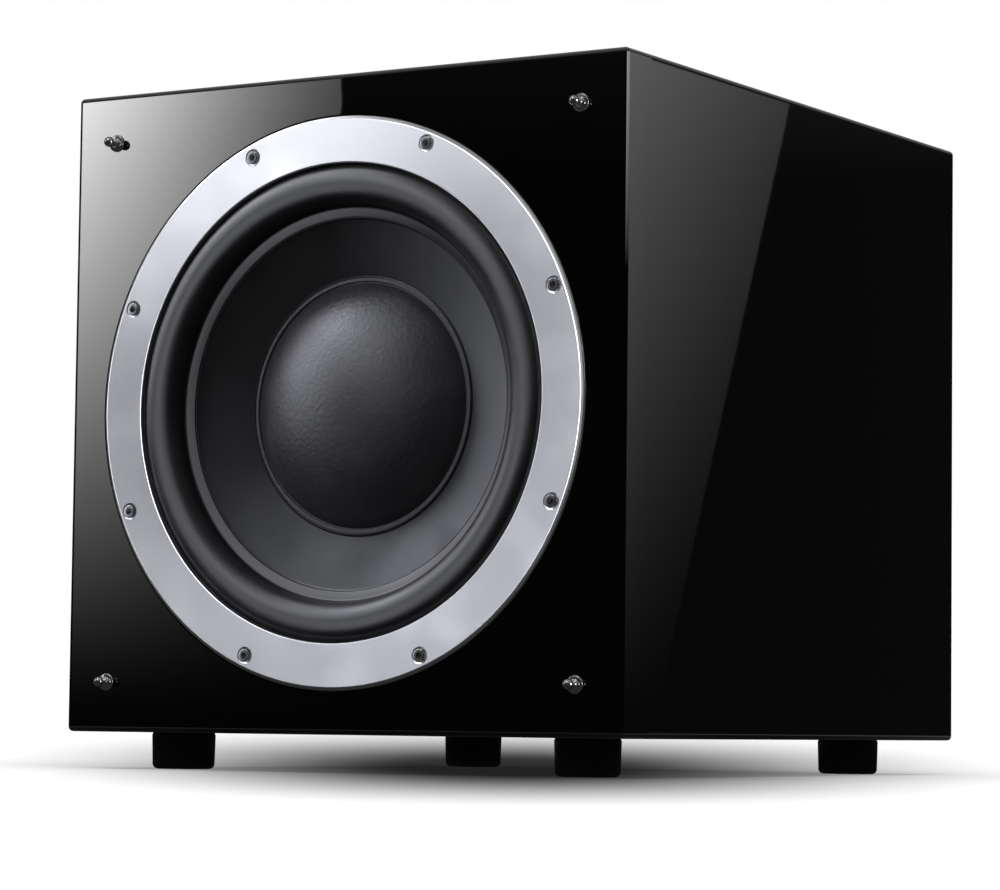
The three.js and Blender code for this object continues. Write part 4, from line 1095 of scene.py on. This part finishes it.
def build_transformer():
    """Toroid whose outer winding stands out as even ridges, held by a dished steel disc and a bolt."""
    low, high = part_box("power_transformer")
    centre = (low + high) / 2
    y0, y1 = low.y / MM, high.y / MM
    outline = [(9, y0 + 1.5, 3), (20, y0, 3), (38, y0, 4), (43, y0 + 5, 4), (43, y1 - 5, 4), (38, y1, 4),
               (9, y1 - 0.5, 3)]
    ridged = turn("power_transformer_finish", outline, grained("copper"), 360,
                  shape=lambda a, r: r - 0.3 + 0.3 * math.cos(90 * a))
    finish_as(on_axis(ridged, centre.x, 0, centre.z))
    steel = zinc_steel()
    dish = [(3.2, y0 - 1), (10, y0 - 1, 2), (20, y0 - 2.6, 2), (30, y0 - 2.2, 0.5), (30, y0 - 1.2, 0.5),
            (20, y0 - 1.6, 2), (11, y0, 1), (3.2, y0)]
    finish_as(on_axis(turn("transformer_disc", dish, steel), centre.x, 0, centre.z), slot="zinc_steel")
    bolt = prism("transformer_bolt_head", hexagon(centre.x, centre.z, 5.6), low.y - 5 * MM, low.y - 1.2 * MM,
                 steel)
    finish_as(bolt, slot="zinc_steel")
    stem = rod("transformer_bolt", 3, low.y - 2 * MM, PLATE_IN - 0.3 * MM, centre.x, centre.z, steel)
    finish_as(stem, slot="zinc_steel")


# ------------------------------------------------------------------ stage: camera, reflections, light

EYE = Vector((1.0992, FRONT - 1.6218, UNDER + 0.0075))
YAW, PITCH, ROLL = math.radians(31.59), math.radians(4.26), math.radians(0.68)
LENS = 134.14
SIDE_AWAY, EDGE_AWAY = 1.0, 1.4  # how far the side and edge cards stand off the cabinet


def build_camera():
    forward = Vector((-math.sin(YAW) * math.cos(PITCH), math.cos(YAW) * math.cos(PITCH), math.sin(PITCH)))
    level = Vector((math.cos(YAW), math.sin(YAW), 0))
    upright = level.cross(forward)
    right = math.cos(ROLL) * level + math.sin(ROLL) * upright
    up = right.cross(forward)
    camera = bpy.data.objects.new("camera", bpy.data.cameras.new("camera"))
    camera.data.lens = LENS
    camera.data.sensor_width = 36
    camera.data.sensor_fit = "HORIZONTAL"
    camera.data.clip_start = 0.01
    camera.matrix_world = Matrix((
        (right.x, up.x, -forward.x, EYE.x),
        (right.y, up.y, -forward.y, EYE.y),
        (right.z, up.z, -forward.z, EYE.z),
        (0, 0, 0, 1)))
    bpy.context.scene.collection.objects.link(camera)
    bpy.context.scene.camera = camera


def seen_in_front(x, z, away=1.2):
    """Where the eye's ray goes after it mirrors off the front face at (x, z)."""
    ray = Vector((x, FRONT, z)) - EYE
    reach = away / ray.y
    return Vector((x + reach * ray.x, FRONT - away, z + reach * ray.z))


def seen_in_side(y, z, away=SIDE_AWAY):
    """Where the eye's ray goes after it mirrors off the right-hand side at (y, z)."""
    ray = Vector((SIDE, y, z)) - EYE
    reach = away / -ray.x
    return Vector((SIDE + away, y + reach * ray.y, z + reach * ray.z))


class Glow(Shader):
    """A material that only shines or dims, and hides nothing behind it."""

    def __init__(self, name):
        self.material = bpy.data.materials.new(name)
        self.material.use_nodes = True
        super().__init__(self.material.node_tree)
        self.tree.nodes.clear()

    def shine(self, strength):
        light = self.add("ShaderNodeEmission", {"Strength": strength}).outputs[0]
        clear = self.add("ShaderNodeBsdfTransparent").outputs[0]
        return self.output(self.add("ShaderNodeAddShader", {0: light, 1: clear}))

    def output(self, shader):
        self.tree.links.new(shader.outputs[0], self.add("ShaderNodeOutputMaterial").inputs[0])
        return self.material


def from_below_top(card, away, level):
    """1 for rays that passed below the top face where they left the cabinet, that far away; 0 for the others.

    The distance is measured level, along the directions that are 1."""
    ray = card.add("ShaderNodeNewGeometry").outputs
    run = card.length(card.vector("MULTIPLY", ray["Incoming"], level))
    slope = card.maths("DIVIDE", card.split(ray["Incoming"])[2], run)
    height = card.maths("MULTIPLY_ADD", slope, away, card.split(ray["Position"])[2])
    return card.maths("LESS_THAN", height, TOP - MM)


def glow(name, peak, across_fade, rise_power, away=0.0, level=(1, 1, 0)):
    """Light that fades across the card, as exp(-first s - second s^2), and grows towards its top."""
    card = Glow(name)
    across, up, _ = card.split(card.place("UV"))
    first, second = across_fade
    slope = card.maths("MULTIPLY_ADD", across, -second, -first)
    fade = card.maths("EXPONENT", card.maths("MULTIPLY", across, slope))
    both = card.maths("MULTIPLY", fade, card.maths("POWER", up, rise_power))
    strength = card.maths("MULTIPLY", both, peak)
    if away:
        strength = card.maths("MULTIPLY", strength, from_below_top(card, away, level))
    return card.shine(strength)


def reflection_card(name, corners, mirror, material, steps=12):
    """A glowing card that only reflections see; corners are points of the face that mirrors it."""
    bm = bmesh.new()
    uv = bm.loops.layers.uv.new("card")
    (a, b), (c, d) = corners
    grid = {}
    for i in range(steps + 1):
        for j in range(steps + 1):
            s, t = i / steps, j / steps
            low = Vector(a).lerp(Vector(b), s)
            high = Vector(c).lerp(Vector(d), s)
            grid[i, j] = bm.verts.new(mirror(*low.lerp(high, t)))
    for i in range(steps):
        for j in range(steps):
            around = ((i, j), (i + 1, j), (i + 1, j + 1), (i, j + 1))
            face = bm.faces.new([grid[key] for key in around])
            for loop, (p, q) in zip(face.loops, around):
                loop[uv].uv = (p / steps, q / steps)
    mesh = bpy.data.meshes.new(name)
    bm.to_mesh(mesh)
    bm.free()
    card = bpy.data.objects.new(name, mesh)
    card.data.materials.append(material)
    bpy.context.scene.collection.objects.link(card)
    return mirrored_only(card)


def room_glow(peak, lowest, highest):
    """Light that grows overhead; it is off in the low directions where the main camera's mirrored rays go."""
    room = Glow("room_glow")
    height = room.split(room.place())[2]
    return room.shine(room.ramp(height, lowest, highest, 0.0, peak))


def floor_glow(peak, near, far):
    """A painted reflection of the pale floor for the lacquer: a painted shadow darkens it under the cabinet,
    and it is gone in the distance.
    """
    ground = Glow("mirrored_floor_glow")
    radius = ground.length(ground.place())
    # painted shadow: the reflected floor is dark near the cabinet and brightens outwards
    rise = ground.ramp(radius, *near, 0.0, peak, "SMOOTHSTEP")
    fall = ground.ramp(radius, *far, 1.0, 0.0, "SMOOTHSTEP")
    return ground.shine(ground.maths("MULTIPLY", rise, fall))


def mirrored_only(card):
    """Reflections see the card; the camera, matt surfaces and shadows don't."""
    card.visible_camera = False
    card.visible_diffuse = False
    card.visible_shadow = False
    return card


def build_mirrored_room():
    """A dim room overhead and a pale floor, for the lacquer alone to mirror."""
    shell = bmesh.new()
    bmesh.ops.create_uvsphere(shell, u_segments=48, v_segments=24, radius=1.0)
    room = new_piece("mirrored_room", shell, room_glow(0.75, 0.19, 0.85))
    room.scale = (7, 7, 7)
    disc = bmesh.new()
    bmesh.ops.create_circle(disc, cap_ends=True, segments=64, radius=4.5)
    ground = new_piece("mirrored_floor", disc, floor_glow(0.75, (0.15, 0.9), (1.2, 4.4)))
    ground.location.z = 0.001
    return mirrored_only(room), mirrored_only(ground)


def beside_the_edge(angle, z, away=EDGE_AWAY):
    """A place round the front right-hand edge; the angle runs from straight ahead towards the right."""
    turned = math.radians(angle)
    return Vector((SIDE + away * math.sin(turned), FRONT - away * math.cos(turned), z))


def add_light(name, kind, place, target, watts, **settings):
    light = bpy.data.objects.new(name, bpy.data.lights.new(name, kind))
    for key, value in settings.items():
        setattr(light.data, key, value)
    light.data.energy = watts
    light.location = place
    light.rotation_euler = (Vector(target) - Vector(place)).to_track_quat("-Z", "Y").to_euler()
    light.visible_camera = False
    bpy.context.scene.collection.objects.link(light)
    return light


def light_only(light, receivers):
    """The light reaches only these objects."""
    group = bpy.data.collections.new(f"{light.name}_receivers")
    for receiver in receivers:
        group.objects.link(receiver)
    light.light_linking.receiver_collection = group


COOL_WHITE = (0.965, 0.985, 1.07)


def softbox(name, azimuth, elevation, watts, size=0.9):
    """A square soft light that faces the driver; the azimuth runs from straight ahead towards the right."""
    turned, raised, away = math.radians(azimuth), math.radians(elevation), 2.1
    target = Vector((0, FRONT, AXIS_Z))
    toward = Vector((math.sin(turned) * math.cos(raised), -math.cos(turned) * math.cos(raised),
                     math.sin(raised)))
    return add_light(name, "AREA", target + away * toward, target, watts, shape="SQUARE", size=size,
                     color=COOL_WHITE)


# The softboxes flagged on to each part: the names of its pieces, the size, then azimuth, elevation and watts.
SOFTBOXES = {
    "cone": (("cone_finish",), 0.9, ((-58, 32, 10), (-75, 25, 49), (-40, 30, 3), (-50, 60, 20),
                                     (-80, 50, 12))),
    "surround": (("surround_",), 1.5, ((-75, 25, 17), (-40, 30, 16), (-20, 45, 7), (-80, 50, 25), (0, 15, 12),
                                       (-25, -15, 18))),
    "cap": (("dust_cap", "cap_glue"), 0.9, ((-75, 25, 14), (-40, 30, 6), (-20, 45, 13), (-60, 5, 9),
                                            (-80, 50, 46), (0, 15, 6), (-25, -15, 2.4))),
    "ring": (("trim_ring",), 0.9, ((-60, 5, 8.4), (-5, 26, 11), (-22, 28, 6.0), (4, 8, 20), (-85, 42, 12))),
    "screws": (("driver_screw",), 0.9, ((-58, 32, 14), (-60, 5, 9), (-20, 60, 14))),
    "posts": (("grille_post",), 0.9, ((-10, 55, 3), (95, 5, 12), (-62, 20, 1.5))),
    "feet": (("foot_",), 0.9, ((-58, 20, 2),)),
}


def build_floor():
    bm = bmesh.new()
    bmesh.ops.create_grid(bm, x_segments=1, y_segments=1, size=6.0)
    finish = Finish("pale_floor", (0.86, 0.86, 0.86), 0.9, Specular_IOR_Level=0.0)
    floor = new_piece("floor", bm, finish.vary_roughness(finish.noise(200), 0.05).done())
    floor.visible_diffuse = False
    floor.visible_glossy = False
    return floor


def gauze():
    """Dark in an oval as the camera sees it, so it is drawn in x / y and 1 / y of a plane under the camera.

    It is clear for a camera well above the floor, where such a long pool would look wrong."""
    cloth = Glow("gauze")
    x, y, _ = cloth.split(cloth.place())
    across, nearness = cloth.maths("DIVIDE", x, y), cloth.maths("DIVIDE", 1.0, y)
    seen = cloth.add("ShaderNodeCombineXYZ", {0: across, 1: nearness}).outputs[0]
    from_centre = cloth.vector("SUBTRACT", seen, (0.003, 0.435, 0))
    radius = cloth.length(cloth.vector("MULTIPLY", from_centre, (4.6, 1.64, 0)))
    clear = cloth.ramp(radius, 0.11, 0.72, 0.03, 1.0, "SMOOTHSTEP")
    eye = cloth.add("ShaderNodeVectorTransform", {0: (0, 0, 0)}, vector_type="POINT", convert_from="CAMERA",
                    convert_to="WORLD").outputs[0]
    raised = cloth.ramp(cloth.split(eye)[2], 0.1, 0.2)
    return cloth.output(cloth.add("ShaderNodeBsdfTransparent", {0: cloth.maths("MAXIMUM", clear, raised)}))


def build_scrim():
    """A gauze just off the floor between the lights and the floor: it deepens the pool of shadow."""
    bm = bmesh.new()
    bm.faces.new([bm.verts.new((x, y, 0)) for x, y in ((-0.3, 1.0), (0.3, 1.0), (2.6, 12.0), (-2.6, 12.0))])
    scrim = new_piece("floor_scrim", bm, gauze())
    scrim.location = (EYE.x, EYE.y, 0.004)
    scrim.rotation_euler.z = YAW
    for ray in ("camera", "glossy", "transmission", "volume_scatter"):
        setattr(scrim, f"visible_{ray}", False)
    return scrim


def build_world():
    """White to the camera, a dim band of sky to mirrors, faint and even to everything else."""
    world = bpy.data.worlds.new("studio")
    world.use_nodes = True
    bpy.context.scene.world = world
    sky = Shader(world.node_tree)
    sky.tree.nodes.clear()
    ray = sky.add("ShaderNodeLightPath").outputs
    band = sky.ramp(sky.split(sky.place("Generated"))[2], 0.25, 0.6, 0.022, 0.16)
    white, dim, soft = (sky.add("ShaderNodeBackground", {0: (1, 1, 1, 1), 1: strength}).outputs[0]
                        for strength in (1.0, band, 0.12))
    indirect = sky.add("ShaderNodeMixShader", {0: ray["Is Glossy Ray"], 1: soft, 2: dim}).outputs[0]
    seen = sky.add("ShaderNodeMixShader", {0: ray["Is Camera Ray"], 1: indirect, 2: white}).outputs[0]
    sky.tree.links.new(seen, sky.add("ShaderNodeOutputWorld").inputs[0])
    bpy.context.scene.view_settings.view_transform = "Standard"


def build_stage():
    """The lacquer mirrors its own two cards and a strip; softboxes light everything that isn't lacquer."""
    pieces = [o for o in bpy.context.scene.objects if o.type == "MESH" and not o.hide_render]
    lacquered = [o for o in pieces if o.active_material == LACQUER]
    others = [o for o in pieces if o.active_material != LACQUER]
    build_camera()
    floor = build_floor()
    scrim = build_scrim()
    build_world()
    face = ((-SIDE, UNDER), (0.0, UNDER)), ((-SIDE, TOP), (0.0, TOP))
    front = reflection_card("front_reflection", face, seen_in_front,
                            glow("front_glow", 18.2, (1.0, 1.5), 2.15))
    flank = ((FRONT - 0.010, UNDER), (FRONT + 0.030, UNDER)), ((FRONT - 0.010, TOP), (FRONT + 0.181, TOP))
    side_glow = glow("side_glow", 1.05, (1.0, 0.3), 1.6, SIDE_AWAY, (1, 0, 0))
    side = reflection_card("side_reflection", flank, seen_in_side, side_glow)
    arc = ((58, 0.43), (147.9, 0.43)), ((58, 0.65), (147.9, 0.65))
    edge = reflection_card("edge_reflection", arc, beside_the_edge,
                           glow("edge_glow", 8.2, (0, 1.3), 1.0, EDGE_AWAY))
    seen = [o for o in lacquered if o.name.startswith(("front_baffle", "right_panel"))]
    room, ground = build_mirrored_room()
    for light in (front, edge):
        light_only(light, seen)
    light_only(side, [*seen, bpy.data.objects["top_panel_finish"]])
    for light in (room, ground):
        light_only(light, lacquered)
    rest = set(others) - {floor}
    for part, (pieces, size, lights) in SOFTBOXES.items():
        receivers = [o for o in rest if o.name.startswith(pieces)]
        rest -= set(receivers)
        for i, (azimuth, elevation, watts) in enumerate(lights):
            light_only(softbox(f"{part}_softbox_{i + 1}", azimuth, elevation, watts, size), receivers)
    fill = softbox("fill", -58, 32, 14)
    rear = add_light("rear_softbox", "AREA", (-0.9, REAR + 1.6, 1.3), (0, REAR, AXIS_Z), 110, shape="SQUARE",
                     size=1.2)
    low = add_light("low_softbox", "AREA", (-1.7, REAR + 1.1, 0.3), (0, REAR, AXIS_Z), 40, shape="SQUARE",
                    size=0.8)
    for light in (fill, rear, low):
        light_only(light, rest)
    overhead = (0.5, -0.8, 4)
    sun = add_light("floor_sun", "SUN", overhead, (0, 0, 0), 1.6, angle=math.radians(70))
    light_only(sun, [floor])
    wash = add_light("floor_wash", "SUN", overhead, (0, 0, 0), 2.1, angle=math.radians(20))
    light_only(wash, [floor])
    gauze = bpy.data.collections.new("gauze_only")
    gauze.objects.link(scrim)
    wash.light_linking.blocker_collection = gauze


build_cabinet()
build_feet()
build_grille_posts()
build_trim_ring()
build_driver_screws()
build_surround()
build_cone()
build_dust_cap()
build_basket()
build_suspension_and_coil()
build_magnet()
build_wiring()
build_amp_plate()
build_amp_screws()
build_heat_sink()
build_controls()
build_phase_switch()
build_power_switch()
build_mains_inlet()
build_jacks()
build_board()
build_transformer()
build_stage()
